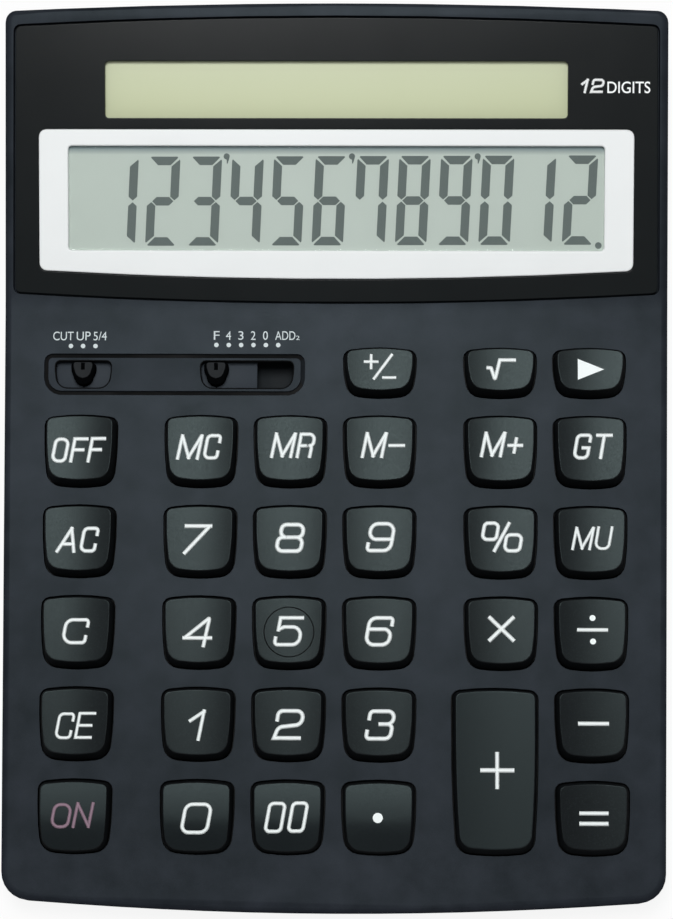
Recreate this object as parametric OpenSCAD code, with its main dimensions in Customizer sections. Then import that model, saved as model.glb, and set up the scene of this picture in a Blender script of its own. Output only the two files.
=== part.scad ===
// Desktop calculator with a sloping key deck and a steeper display head.
// X runs to the right, Y to the rear and Z up, with the table at Z = 0.
// The deck and the head each have a frame of their own: both start at the fold
// between them, with X across, Y up the slope and Z square to the surface.

/* [Case] */
// Width of the case at its widest, across the fold
body_w = 149.7; // [148.7:0.1:156.7]
// Amount that each side draws in from the fold to the front edge
front_taper = 1.8; // [0:0.1:2]
// Amount that each side draws in from the fold to the rear edge
rear_taper = 0.4; // [0:0.1:0.8]
// Length of the key deck along its slope
deck_l = 135.4; // [134.8:0.2:142]
// Length of the display head along its slope
head_l = 68; // [67.4:0.2:72]
// Slope of the key deck in degrees
deck_tilt = 3; // [2.4:0.1:3.6]
// Slope of the display head in degrees
head_tilt = 14.5; // [12:0.5:17]
// Height of the front edge of the deck above the table
front_h = 12.6; // [12.5:0.1:15]
// Bow of the front edge at its middle
front_bow = 3; // [0.5:0.1:3.4]
// Bow of the rear edge at its middle
rear_bow = 1.7; // [0.5:0.1:2.2]
// Plan radius of the front corners
front_corner_r = 6.3; // [4:0.1:8]
// Plan radius of the rear corners
rear_corner_r = 2.6; // [2.2:0.1:4]
// Rounding of the upper edges
edge_r = 1.6; // [0.8:0.1:1.8]
// Thickness of the outer walls
wall_t = 2; // [1.6:0.1:2.2]
// Thickness of the key deck
deck_t = 2; // [1.8:0.1:2.2]
// Thickness of the head under its rim
head_t = 3.4; // [3:0.1:3.6]
// Length over which the deck thickens towards the head
skin_ramp = 8; // [6:0.5:9]
// Half length of the soft bend at the fold
fold_soft = 2.5; // [1:0.1:3]
// Depth of the seam between the two cases below the deck
seam_d = 6.5; // [5.5:0.1:7]
// Step in from the upper case to the lower case at the seam
seam_step = 0.6; // [0.2:0.1:0.8]
// Draw of the lower case from the seam to its lower edge
lower_draw = 1.6; // [0.8:0.1:2]
// Rounding of the lower edge
lower_round = 2.4; // [1:0.1:2.6]
// Thickness of the lower case's floor
floor_t = 2; // [1.6:0.1:2.2]

/* [Display] */
// Width of the case's rim on each side of the glossy panel
panel_side = 2.4; // [2.3:0.1:4.5]
// Distance from the fold to the panel's front edge at its middle
panel_front = 0.7; // [0.6:0.1:1.4]
// Distance from the fold to the panel's rear edge at its middle
panel_rear = 64.4; // [62:0.1:64.6]
// Bow of the panel's front edge
panel_front_bow = 2.1; // [0.5:0.1:2.6]
// Bow of the panel's rear edge
panel_rear_bow = 1.9; // [0.5:0.1:2.4]
// Thickness of the panel and of the white frame
panel_t = 1.6; // [1.2:0.1:1.8]
// Depth of the panel's surface below the rim
panel_sink = 0.2; // [0:0.1:0.4]
// Width of the groove round the panel
panel_groove = 0.4; // [0.2:0.1:0.5]
// Width of the panel on each side of the white frame
frame_side = 5.45; // [4.35:0.05:7.35]
// Distance from the fold to the frame's front edge at its middle
frame_front = 5.9; // [5.4:0.1:6.2]
// Bow of the frame's front edge
frame_bow = 1.8; // [0.4:0.1:2]
// Distance from the fold to the frame's straight rear edge
frame_rear = 39.5; // [39.2:0.1:39.8]
// Width of the white frame on each side of the display's opening
view_side = 6.6; // [6:0.1:9]
// Distance from the fold to the opening's front edge
view_front = 12.3; // [12:0.1:13]
// Distance from the fold to the opening's rear edge
view_rear = 35.8; // [34:0.1:36.2]
// Thickness of the clear window in the opening
window_t = 0.6; // [0.4:0.1:1]
// Margin of the display glass round its opening
glass_margin = 1.7; // [1.2:0.1:1.8]
// Thickness of the display glass
glass_t = 2.8; // [2.4:0.1:3.2]
// Half width of the solar window
solar_half_w = 52; // [40:0.5:53]
// Distance from the fold to the solar window's front edge
solar_front = 42; // [41.8:0.1:43]
// Distance from the fold to the solar window's rear edge
solar_rear = 54.7; // [52:0.1:55]
// Margin of the solar cell round its window
solar_margin = 1.4; // [1:0.1:1.6]
// Thickness of the solar cell
solar_t = 1.4; // [1:0.1:1.8]
// Thickness of the holder behind the display
holder_t = 1.6; // [1.2:0.1:2]

/* [Keys] */
// Width of the deck between the case's side and the first hole
side_land = 9.6; // [9.3:0.1:10.1]
// Width of the deck between two columns of holes
key_land = 3.45; // [3.25:0.05:3.75]
// Width of the deck between two blocks of keys
block_land = 10.45; // [10.25:0.05:10.85]
// Distance between key rows
row_pitch = 20.3; // [20:0.1:20.5]
// Distance from the fold forward to the first full row
first_row = 33.4; // [33.1:0.1:33.9]
// Distance from the fold forward to the row of half keys
half_row = 15.5; // [15.4:0.1:15.8]
// Length of a key's hole
hole_l = 16.6; // [16:0.1:16.8]
// Length of a half key's hole
half_hole_l = 11.7; // [11.3:0.1:11.9]
// Extra width of the tall key's hole, on its left
tall_extra = 2.8; // [1.8:0.1:3]
// Radius of a hole's rear corners
hole_rear_r = 2; // [1.2:0.1:2.4]
// Radius of a hole's front corners
hole_front_r = 3.6; // [2.4:0.1:4]
// Amount that each side of a hole draws in towards the front
hole_taper = 0.5; // [0:0.05:0.7]
// Bow of a hole's rear edge
hole_rear_bow = 0.45; // [0:0.05:0.6]
// Bow of a hole's front edge
hole_front_bow = 0.3; // [0:0.05:0.8]
// Height of a key's top above the deck
key_h = 3.9; // [3.4:0.1:4.6]
// Amount that a key's sides draw in from the hole to the top face
top_side_in = 1; // [0.7:0.05:1.2]
// Amount that a key's rear draws in from the hole to the top face
top_rear_in = 0.85; // [0.7:0.05:1.2]
// Amount that a key's front draws in from the hole to the top face
top_front_in = 1.5; // [1.1:0.05:1.9]
// Rounding of a key's top edge
key_edge = 0.35; // [0.25:0.05:0.6]
// Drop of the rolled front on the keys of the front row
roll_drop = 2.1; // [0.5:0.1:2.4]
// Thickness of a key's cap
cap_t = 1.4; // [1:0.1:1.7]
// Width of the flange that keeps a key under the deck
flange_w = 0.9; // [0.7:0.05:1]
// Thickness of that flange
flange_t = 1; // [0.8:0.1:1.2]
// Diameter of a key's stem
stem_d = 4.6; // [3.6:0.1:4.8]
// Key travel
key_travel = 1.5; // [1:0.1:1.6]

/* [Switches] */
// Depth of the groove round the switch tray
tray_d = 0.7; // [0.3:0.1:1]
// Width of that groove
tray_groove = 0.9; // [0.5:0.1:1]
// Depth of the tray's surface below the deck
tray_sink = 0.1; // [0:0.05:0.2]
// Distance from the case's side to the tray's left end
tray_side = 9.25; // [8.85:0.05:10.05]
// Right end of the tray, from the case's middle
tray_right = -6.9; // [-7.6:0.1:-6.5]
// Distance from the fold forward to the tray's middle
tray_mid = 15.9; // [15.7:0.1:16.2]
// Length of the tray up the deck
tray_l = 9.4; // [8.6:0.1:9.8]
// Length of the switch slots up the deck
slot_l = 6.1; // [5.8:0.1:6.6]
// Distance between two switch places
place_pitch = 2.78; // [2.5:0.01:2.85]
// Distance from the case's side to the rounding switch's middle place
rounding_side = 18.05; // [17.85:0.05:18.45]
// First place of the decimal switch, from the case's middle
decimal_x = -26.85; // [-27.2:0.05:-26.6]
// Width of a switch knob
knob_w = 6.2; // [5.4:0.1:6.4]
// Height of a switch knob above the deck
knob_h = 0.9; // [0.4:0.1:2]
// Length of a slide plate
slide_l = 18.4; // [16.5:0.1:18.6]
// Width of a slide plate
slide_w = 8.2; // [7.2:0.1:8.4]
// Thickness of a slide plate
slide_t = 1; // [0.8:0.1:1.4]

/* [Inside] */
// Depth of the circuit board's upper face below the deck
board_d = 7.9; // [7.8:0.1:8]
// Thickness of the circuit board
board_t = 1.2; // [0.8:0.1:1.3]
// Distance from the case's side to the circuit board
board_side = 11.4; // [10.9:0.1:12.4]
// Distance from the fold forward to the board's rear edge
board_rear = 7; // [6.8:0.1:7.4]
// Distance from the fold forward to the board's front edge
board_front = 125.6; // [124.4:0.1:126]
// Thickness of the rubber sheet between its domes
sheet_t = 0.8; // [0.6:0.1:1]
// Outer diameter of a dome at its foot
dome_d = 9.2; // [8:0.1:9.6]
// Outer diameter of a dome at its crown
dome_top_d = 6; // [5.4:0.1:6.6]
// Thickness of a dome's wall
dome_wall = 0.7; // [0.5:0.05:0.9]
// Diameter of the contact pill in a dome
pill_d = 3.4; // [2.6:0.1:3.6]
// Diameter of the resin blob over the processor
blob_d = 16; // [10:0.5:20]
// Height of that blob
blob_h = 1.8; // [1:0.1:2.2]
// Distance of the blob from the case's middle
blob_x = -6; // [-10:0.5:0]
// Distance from the fold forward to the blob
blob_away = 42; // [38:0.5:60]
// Diameter of the storage capacitor
capacitor_d = 6.3; // [5:0.1:8]
// Height of the storage capacitor
capacitor_h = 5; // [4:0.1:5.4]
// Distance of the capacitor from the case's middle
capacitor_x = 30; // [29:0.5:38]
// Distance from the fold forward to the capacitor
capacitor_away = 16; // [14:0.5:18]
// Width of the ribbon
ribbon_w = 40; // [30:1:44]
// Thickness of the ribbon
ribbon_t = 0.3; // [0.2:0.05:0.4]
// Diameter of a solar lead
lead_d = 1; // [0.7:0.1:1.2]

/* [Screws and feet] */
// Diameter of a board screw's shank
board_screw_d = 1.8; // [1.6:0.1:2]
// Diameter of a board screw's head
board_head_d = 3.8; // [3.2:0.1:4.2]
// Height of a board screw's head
board_head_h = 0.9; // [0.7:0.1:1]
// Length of a board screw's shank
board_screw_l = 4.6; // [3.6:0.1:5]
// Diameter of a board boss
board_boss_d = 4.8; // [4.2:0.1:5]
// Distance from the fold forward to the rear board screws
board_screw_rear = 26; // [25:0.5:28]
// Distance from the fold forward to the front board screws
board_screw_front = 80; // [76:0.5:84]
// Diameter of a case screw's shank
case_screw_d = 2.4; // [2:0.1:2.6]
// Diameter of a case screw's head
case_head_d = 5; // [4.2:0.1:5.2]
// Height of a case screw's head
case_head_h = 1.6; // [1.2:0.1:1.7]
// Length of a case screw's shank
case_screw_l = 7.6; // [6:0.1:7.8]
// Diameter of a case boss
case_boss_d = 5.6; // [5:0.1:5.8]
// Depth of a case screw's counterbore
counterbore_h = 1.8; // [1.8:0.05:1.85]
// Thickness under a case screw's head
seat_t = 1.3; // [1:0.1:1.35]
// Distance from the fold forward to the middle case screws
case_screw_mid = 50; // [46:0.5:54]
// Distance from the fold forward to the front case screws
case_screw_front = 104; // [98:0.5:104]
// Distance from the case's side to the rear case screws
case_screw_side = 15; // [13:0.5:21]
// Diameter of a foot
foot_d = 10; // [6:0.5:12]
// Height of the floor above the table
foot_h = 1.5; // [1.4:0.05:1.55]
// Depth of a foot's seat in the floor
foot_seat = 0.4; // [0.2:0.1:0.8]
// Distance from the case's side to the feet
foot_side = 18; // [17:0.5:25]
// Distance from the middle to the feet, front and rear
foot_y = 84; // [76:0.5:86]

/* [Clearances] */
// Gap between a key and its hole, and between a knob and its slot
key_gap = 0.35; // [0.3:0.05:0.4]
// Gap between a moving part and the face that it passes
slide_gap = 0.3; // [0.25:0.05:0.35]
// Gap round a part that is set in place
set_gap = 0.1; // [0.05:0.05:0.2]
// Gap between a shank and the hole that it passes
screw_gap = 0.2; // [0.1:0.05:0.25]
// Gap between a case boss and the board
boss_gap = 0.7; // [0.5:0.05:0.8]

/* [Hidden] */
$fn = 48;

case_grey = [0.19, 0.2, 0.22];
key_grey = [0.26, 0.28, 0.28];
slide_grey = [0.3, 0.31, 0.34];

plan_l = deck_l * cos(deck_tilt) + head_l * cos(head_tilt);
front_y = -plan_l / 2;
rear_y = plan_l / 2;
fold_y = front_y + deck_l * cos(deck_tilt);
fold_z = front_h + deck_l * sin(deck_tilt);
split_y = fold_y - fold_soft;
half_body = body_w / 2;

// The six columns of holes share what the lands leave of the width
hole_w = (body_w - 2 * side_land - 3 * key_land - 2 * block_land) / 6;
tall_hole_w = hole_w + tall_extra;
col_pitch = hole_w + key_land;
block_pitch = hole_w + block_land;
first_col = -half_body + side_land + hole_w / 2;
columns = [
    first_col,
    first_col + block_pitch,
    first_col + block_pitch + col_pitch,
    first_col + block_pitch + 2 * col_pitch,
    first_col + 2 * block_pitch + 2 * col_pitch,
    first_col + 2 * block_pitch + 3 * col_pitch
];
rows = [
    -half_row,
    -first_row,
    -first_row - row_pitch,
    -first_row - 2 * row_pitch,
    -first_row - 3 * row_pitch,
    -first_row - 4 * row_pitch
];

// Each key: name, column, row and kind of cap
keys = [
    ["key_sign", 3, 0, "half"],
    ["key_root", 4, 0, "half"],
    ["key_back", 5, 0, "half"],
    ["key_off", 0, 1, "square"],
    ["key_mc", 1, 1, "square"],
    ["key_mr", 2, 1, "square"],
    ["key_m_minus", 3, 1, "square"],
    ["key_m_plus", 4, 1, "square"],
    ["key_gt", 5, 1, "square"],
    ["key_ac", 0, 2, "square"],
    ["key_7", 1, 2, "square"],
    ["key_8", 2, 2, "square"],
    ["key_9", 3, 2, "square"],
    ["key_percent", 4, 2, "square"],
    ["key_mu", 5, 2, "square"],
    ["key_c", 0, 3, "square"],
    ["key_4", 1, 3, "square"],
    ["key_5", 2, 3, "square"],
    ["key_6", 3, 3, "square"],
    ["key_times", 4, 3, "square"],
    ["key_divide", 5, 3, "square"],
    ["key_ce", 0, 4, "square"],
    ["key_1", 1, 4, "square"],
    ["key_2", 2, 4, "square"],
    ["key_3", 3, 4, "square"],
    ["key_plus", 4, 4, "tall"],
    ["key_minus", 5, 4, "square"],
    ["key_on", 0, 5, "rolled"],
    ["key_0", 1, 5, "rolled"],
    ["key_00", 2, 5, "rolled"],
    ["key_point", 3, 5, "rolled"],
    ["key_equals", 5, 5, "square"]
];

function hole_width(kind) = kind == "tall" ? tall_hole_w : hole_w;
function hole_length(kind) =
    kind == "tall" ? row_pitch + hole_l : kind == "half" ? half_hole_l : hole_l;
function side_taper(kind) = kind == "tall" ? hole_taper * 1.6 : hole_taper;
function key_x(k) = columns[k[1]] - (k[3] == "tall" ? (tall_hole_w - hole_w) / 2 : 0);
function key_y(k) = rows[k[2]] - (k[3] == "tall" ? row_pitch / 2 : 0);
function dome_ys(k) = k[3] == "tall" ? [-row_pitch / 2, row_pitch / 2] : [0];

// Levels square to the deck, from its surface
neck_n = -deck_t - slide_gap;
flange_n = neck_n - flange_t;
dome_n = flange_n - 1;
sheet_n = -board_d + sheet_t;
pill_n = -board_d + key_travel;
slide_n = -deck_t - slide_gap;
foot_n = -board_d + 2 * slide_gap + 0.3;

// Widths on the head, each from the one outside it
panel_half_w = half_body - panel_side;
frame_half_w = panel_half_w - frame_side;
view_half_w = frame_half_w - view_side;

// Levels square to the head, from its rim
panel_n = -panel_sink - panel_t;
glass_n = panel_n - glass_t;
solar_n = panel_n - solar_t;
holder_n = glass_n - holder_t;

// Free strips between the key blocks take the bosses
left_strip = (columns[0] + columns[1]) / 2;
tall_left = columns[4] + hole_w / 2 - tall_hole_w + key_gap - flange_w;
right_strip = (columns[3] + hole_w / 2 - key_gap + flange_w + tall_left) / 2;
strips = [left_strip, right_strip];
board_screws_at = [for (x = strips, d = [board_screw_rear, board_screw_front]) [x, -d]];
holder_x = view_half_w + glass_margin + 4.3;
holder_front = view_front - 0.3;
holder_rear = solar_rear + solar_margin + 0.3;
holder_screws_at = [for (x = [-1, 1], y = [holder_front + 3, holder_rear - 3]) [x * holder_x, y]];
rear_screw_y = rear_y - rear_bow - wall_t - case_boss_d / 2 - 1;
case_screws_at = concat(
    [for (x = strips, d = [case_screw_mid, case_screw_front]) [x, fold_y - d * cos(deck_tilt)]],
    [for (x = [-1, 1]) [x * (half_body - case_screw_side), rear_screw_y]]
);
seat_z = foot_h + counterbore_h + seat_t;
foot_x = half_body - foot_side;
board_half_w = half_body - board_side;

tray_left = -half_body + tray_side;
tray_x = (tray_left + tray_right) / 2;
rounding_x = -half_body + rounding_side;
rounding_slot_w = knob_w + 2 * place_pitch + 2 * key_gap;
decimal_slot_w = knob_w + 5 * place_pitch + 2 * key_gap;
decimal_slot_x = decimal_x + 2.5 * place_pitch;

// Heights of the case's surfaces over the table
function deck_z(y) = fold_z + (y - fold_y) * tan(deck_tilt);
function head_z(y) = fold_z + (y - fold_y) * tan(head_tilt);
function bend_z(y) =
    deck_z(y) + (tan(head_tilt) - tan(deck_tilt)) * pow(y - fold_y + fold_soft, 2) / (4 * fold_soft);
function top_z(y) =
    y < fold_y - fold_soft ? deck_z(y) : y > fold_y + fold_soft ? head_z(y) : bend_z(y);
function seam_z(y) = deck_z(y) - seam_d / cos(deck_tilt);
function skin_t(y) =
    deck_t + (head_t - deck_t) * max(0, min(1, (y - fold_y) / skin_ramp + 1));
function inner_z(y) = top_z(y) - skin_t(y) / cos(y < fold_y ? deck_tilt : head_tilt);
function half_w(y) =
    half_body - (y < fold_y
        ? front_taper * (fold_y - y) / (fold_y - front_y)
        : rear_taper * (y - fold_y) / (rear_y - fold_y));

// Right-hand half of the case's plan, from the middle of the front to the middle of the rear
function case_plan(inset) = let(
    front_r = max(front_corner_r - inset, 0.8),
    rear_r = max(rear_corner_r - inset, 0.8),
    front_e = front_y + inset,
    rear_e = rear_y - inset,
    front_c = front_e + front_bow * pow(1 - front_r / half_w(front_y), 2) + front_r,
    rear_c = rear_e - rear_bow * pow(1 - rear_r / half_w(rear_y), 2) - rear_r,
    front_x = half_w(front_c) - inset - front_r,
    rear_x = half_w(rear_c) - inset - rear_r
) concat(
    [for (i = [0:6]) [front_x * i / 7, front_e + front_bow * pow(front_x * i / 7 / half_w(front_y), 2)]],
    [for (a = [-84:14:0]) [front_x + front_r * cos(a), front_c + front_r * sin(a)]],
    [for (d = [
        -deck_l * 0.45, -deck_l * 0.15, -skin_ramp,
        -fold_soft, -fold_soft / 2, 0, fold_soft / 2, fold_soft, head_l * 0.45
    ]) [half_w(fold_y + d) - inset, fold_y + d]],
    [for (a = [0:17:85]) [rear_x + rear_r * cos(a), rear_c + rear_r * sin(a)]],
    [for (i = [6:-1:0]) [rear_x * i / 7, rear_e - rear_bow * pow(rear_x * i / 7 / half_w(rear_y), 2)]]
);

// Right-hand half of a shield: bowed front and rear, tight rear corners, full front corners
// and sides that curve in towards the front
function shield(w, l, rear_r, front_r, taper, rear_b, front_b) = let(
    front_x = w / 2 - taper - front_r,
    rear_x = w / 2 - rear_r,
    front_c = -l / 2 + front_b + front_r,
    rear_c = l / 2 - rear_b - rear_r
) concat(
    [for (i = [0:1]) [front_x * i / 2, -l / 2 + front_b * pow(i / 2, 2)]],
    [for (a = [-84:19:-8]) [front_x + front_r * cos(a), front_c + front_r * sin(a)]],
    [for (i = [1:3]) [w / 2 - taper * pow((4 - i) / 4, 3), front_c + (rear_c - front_c) * i / 4]],
    [for (a = [0:28:84]) [rear_x + rear_r * cos(a), rear_c + rear_r * sin(a)]],
    [for (i = [1, 0]) [rear_x * i / 2, l / 2 - rear_b * pow(i / 2, 2)]]
);
function hole_shape(kind, inset) = shield(
    hole_width(kind) - 2 * inset, hole_length(kind) - 2 * inset,
    max(hole_rear_r - inset, 0.4), max(hole_front_r - inset, 0.6),
    side_taper(kind), hole_rear_bow, hole_front_bow
);

// Closes a right-hand half into a full outline
function both_sides(half) = concat(half, [for (i = [len(half) - 2:-1:1]) [-half[i][0], half[i][1]]]);

// Solid through a stack of right-hand rings, lowest first, each with a left-hand twin
module lofted(rings) {
    n = len(rings[0]);
    m = 2 * n - 2;
    function left(i) = i == 0 || i == n - 1 ? i : m - i;
    function rungs(base, up) = [
        for (i = [0:n - 2])
            for (t = [[i, i + 1, left(i + 1)], [i, left(i + 1), left(i)]])
                if (t[0] != t[1] && t[1] != t[2] && t[2] != t[0])
                    up ? [base + t[2], base + t[1], base + t[0]] : [base + t[0], base + t[1], base + t[2]]
    ];
    points = [
        for (r = rings)
            each concat(r, [for (i = [n - 2:-1:1]) [-r[i][0], r[i][1], r[i][2]]])
    ];
    walls = [
        for (k = [0:len(rings) - 2], j = [0:m - 1])
            let(a = k * m + j, b = k * m + (j + 1) % m)
                each [[a, a + m, b + m], [a, b + m, b]]
    ];
    polyhedron(points, concat(rungs(0, false), walls, rungs((len(rings) - 1) * m, true)));
}

module on_deck() {
    translate([0, fold_y, fold_z])
        rotate([deck_tilt, 0, 0])
            children();
}

module on_head() {
    translate([0, fold_y, fold_z])
        rotate([head_tilt, 0, 0])
            children();
}

// Upright plate of a right-hand outline between two levels
module plate(half, low, high) {
    translate([0, 0, low])
        linear_extrude(high - low)
            polygon(both_sides(half));
}

module block(x, y, low, high) {
    translate([x[0], y[0], low])
        cube([x[1] - x[0], y[1] - y[0], high - low]);
}

module rod(at, d, low, high) {
    translate([at[0], at[1], low])
        cylinder(d = d, h = high - low);
}

// One key cap in the deck's frame, about the middle of its hole
module key_cap(k) {
    kind = k[3];
    rolled = kind == "rolled";
    base = hole_shape(kind, key_gap);
    length = hole_length(kind);
    front_in = rolled ? top_front_in * 0.55 : top_front_in;
    shift = (front_in - top_rear_in) / 2;
    function sag(y) = rolled ? roll_drop * pow(max(0, 1 - y) / (1 + length / 2), 2) : 0;
    function top_ring(inset, n) = [
        for (p = shield(
            hole_width(kind) - 2 * top_side_in - 2 * inset,
            length - top_rear_in - front_in - 2 * inset,
            max(hole_rear_r - 0.7, 0.5), max(hole_front_r - 0.6, 0.8),
            side_taper(kind), hole_rear_bow, hole_front_bow
        )) [p[0], p[1] + shift, n - sag(p[1] + shift)]
    ];
    function level(half, n) = [for (p = half) [p[0], p[1], n]];
    hollow_top = key_h - cap_t - (rolled ? roll_drop / 2 : 0);
    hollow = shield(hole_width(kind) - 5.4, length - 5.6, 1, 1.2, 0.3, 0.1, 0.2);
    translate([key_x(k), key_y(k), 0]) {
        difference() {
            union() {
                lofted([
                    level(base, neck_n - 0.1),
                    level(base, 0.2),
                    top_ring(-key_edge / 4, key_h - key_edge * 1.3),
                    top_ring(key_edge / 5, key_h - key_edge * 0.35),
                    top_ring(key_edge, key_h)
                ]);
                plate(hole_shape(kind, key_gap - flange_w), flange_n, neck_n);
            }
            plate(hollow, flange_n - 1, hollow_top);
        }
        for (y = dome_ys(k))
            rod([0, y], stem_d, dome_n, hollow_top + 0.2);
    }
}

module key(k) {
    color(key_grey)
        on_deck()
            key_cap(k);
}

// Outer skin of the upper case, with its upper edge rounded in steps
module upper_skin() {
    lofted(concat(
        [[for (p = case_plan(0)) [p[0], p[1], seam_z(p[1])]]],
        [for (a = [0:22.5:90]) [
            for (p = case_plan(edge_r * (1 - cos(a))))
                [p[0], p[1], top_z(p[1]) - edge_r * (1 - sin(a))]
        ]]
    ));
}

module upper_hollow() {
    lofted([
        [for (p = case_plan(wall_t)) [p[0], p[1], seam_z(p[1]) - 2]],
        [for (p = case_plan(wall_t)) [p[0], p[1], inner_z(p[1])]]
    ]);
}

// Panel outline in the head's frame, grown on every side
function panel_plan(grow) = let(
    front_x = panel_half_w + grow,
    rear_x = panel_half_w - rear_taper + grow,
    corner = 1.2 + grow,
    front_e = panel_front + panel_front_bow - grow,
    rear_e = panel_rear - panel_rear_bow + grow
) concat(
    [for (i = [0:6]) [(front_x - corner) * i / 7, front_e - panel_front_bow * (1 - pow(i / 7, 2))]],
    [for (a = [-90:22.5:0]) [front_x - corner + corner * cos(a), front_e + corner + corner * sin(a)]],
    [for (a = [0:22.5:90]) [rear_x - corner + corner * cos(a), rear_e - corner + corner * sin(a)]],
    [for (i = [6:-1:0]) [(rear_x - corner) * i / 7, rear_e + panel_rear_bow * (1 - pow(i / 7, 2))]]
);

// White frame outline in the head's frame, grown on every side
function frame_plan(grow) = let(
    corner = 1.7 + grow,
    x = frame_half_w + grow - corner,
    front_e = frame_front + frame_bow - grow,
    rear_e = frame_rear + grow
) concat(
    [for (i = [0:6]) [x * i / 7, front_e - frame_bow * (1 - pow(i / 7, 2))]],
    [for (a = [-90:22.5:0]) [x + corner * cos(a), front_e + corner + corner * sin(a)]],
    [for (a = [0:22.5:90]) [x + corner * cos(a), rear_e - corner + corner * sin(a)]],
    [[0, rear_e]]
);

// Oblong with rounded corners in the head's frame
function oblong(half_width, front_e, rear_e, corner) = concat(
    [[0, front_e]],
    [for (a = [-90:22.5:0]) [half_width - corner + corner * cos(a), front_e + corner + corner * sin(a)]],
    [for (a = [0:22.5:90]) [half_width - corner + corner * cos(a), rear_e - corner + corner * sin(a)]],
    [[0, rear_e]]
);
function view_plan(grow) =
    oblong(view_half_w + grow, view_front - grow, view_rear + grow, 0.8 + max(grow, 0));
function solar_plan(grow) =
    oblong(solar_half_w + grow, solar_front - grow, solar_rear + grow, 0.9 + max(grow, 0));

module tray_cut() {
    tray_w = tray_right - tray_left;
    inner_w = tray_w - 2 * tray_groove;
    inner_l = tray_l - 2 * tray_groove;
    translate([tray_x, -tray_mid, 0])
        difference() {
            plate(shield(tray_w, tray_l, 1.8, 4, 0, 0, 0), -tray_d, 3);
            plate(shield(inner_w, inner_l, 1, 3.1, 0, 0, 0), -tray_d - 1, -tray_sink);
        }
}

module slot_cut(x, w) {
    translate([x, -tray_mid, 0])
        plate(shield(w, slot_l, 1.1, 2.6, 0.2, 0, 0), -deck_t - 2, 3);
}

module deck_cuts() {
    for (k = keys)
        translate([key_x(k), key_y(k), 0])
            plate(hole_shape(k[3], 0), -deck_t - 2, 3);
    tray_cut();
    slot_cut(rounding_x, rounding_slot_w);
    slot_cut(decimal_slot_x, decimal_slot_w);
}

module head_cuts() {
    plate(panel_plan(panel_groove), panel_n, 4);
    plate(view_plan(glass_margin + set_gap), -head_t - 3, 0);
    plate(solar_plan(solar_margin + set_gap), -head_t - 3, 0);
}

// Guides on either side of the slide plates
module slide_guides() {
    guide_t = 1;
    away = slide_w / 2 + slide_gap + guide_t / 2;
    for (s = [-1, 1])
        translate([tray_left - 3.6, -tray_mid + s * away - guide_t / 2, slide_n - slide_t])
            cube([tray_right - tray_left + 7, guide_t, deck_t + slide_gap + slide_t - tray_d - 0.4]);
}

// Hollow shell of the upper case between two places along Y
module upper_shell(from, to) {
    intersection() {
        difference() {
            upper_skin();
            upper_hollow();
        }
        block([-body_w, body_w], [from, to], -1, fold_z + head_l);
    }
}

module case_boss(p) {
    rod(p, case_boss_d, seat_z, top_z(p[1]) - 1);
}

module case_boss_bore(p) {
    rod(p, case_screw_d + set_gap, seat_z - 1, seat_z - seat_t + case_screw_l + 0.4);
}

// The upper case is one moulding, held as two pieces that meet just in front of the fold
module upper_case_deck() {
    bosses = [for (p = case_screws_at) if (p[1] < split_y) p];
    color(case_grey)
        difference() {
            union() {
                upper_shell(front_y - 1, split_y);
                on_deck() {
                    for (p = board_screws_at)
                        rod(p, board_boss_d, -board_d, -deck_t / 2);
                    slide_guides();
                }
                for (p = bosses)
                    case_boss(p);
            }
            on_deck() {
                deck_cuts();
                for (p = board_screws_at)
                    rod(p, board_screw_d + set_gap, -board_d - 1, -deck_t - 0.2);
            }
            for (p = bosses)
                case_boss_bore(p);
        }
}

module upper_case_head() {
    bosses = [for (p = case_screws_at) if (p[1] > split_y) p];
    color(case_grey)
        difference() {
            union() {
                upper_shell(split_y, rear_y + 1);
                on_head()
                    for (p = holder_screws_at)
                        rod(p, board_boss_d, glass_n, -head_t + 1);
                for (p = bosses)
                    case_boss(p);
            }
            on_head() {
                head_cuts();
                for (p = holder_screws_at)
                    rod(p, board_screw_d + set_gap, glass_n - 1, panel_n - 0.5);
            }
            for (p = bosses)
                case_boss_bore(p);
        }
}

module lower_case() {
    wall_in = seam_step + lower_draw;
    function ring(inset, z) = [for (p = case_plan(inset)) [p[0], p[1], z]];
    color(case_grey)
        difference() {
            union() {
                difference() {
                    lofted([
                        ring(wall_in + lower_round, foot_h),
                        ring(wall_in + lower_round * 0.4, foot_h + lower_round * 0.2),
                        ring(wall_in, foot_h + lower_round * 0.7),
                        [for (p = case_plan(seam_step)) [p[0], p[1], seam_z(p[1])]]
                    ]);
                    lofted([
                        ring(wall_in + wall_t, foot_h + floor_t),
                        [for (p = case_plan(seam_step + wall_t)) [p[0], p[1], seam_z(p[1]) + 0.5]]
                    ]);
                }
                for (p = case_screws_at)
                    rod(p, case_head_d + 3, foot_h + floor_t / 2, seat_z);
            }
            for (p = case_screws_at) {
                rod(p, case_head_d + 2 * screw_gap, foot_h - 1, foot_h + counterbore_h);
                rod(p, case_screw_d + 2 * screw_gap, foot_h, seat_z + 1);
            }
            for (x = [-1, 1], y = [-1, 1])
                rod([x * foot_x, y * foot_y], foot_d + 2 * set_gap, foot_h - 1, foot_h + foot_seat);
        }
}

module display_panel() {
    color([0.1, 0.1, 0.11])
        on_head()
            difference() {
                plate(panel_plan(0), panel_n, -panel_sink);
                plate(frame_plan(set_gap), panel_n - 1, 1);
                plate(solar_plan(0), panel_n - 1, 1);
            }
}

module display_frame() {
    color([0.92, 0.93, 0.93])
        on_head()
            difference() {
                plate(frame_plan(0), panel_n, -panel_sink);
                plate(view_plan(0), panel_n - 1, 1);
            }
}

module display_window() {
    color([0.85, 0.9, 0.9, 0.3])
        on_head()
            plate(view_plan(-set_gap), panel_n, panel_n + window_t);
}

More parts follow.
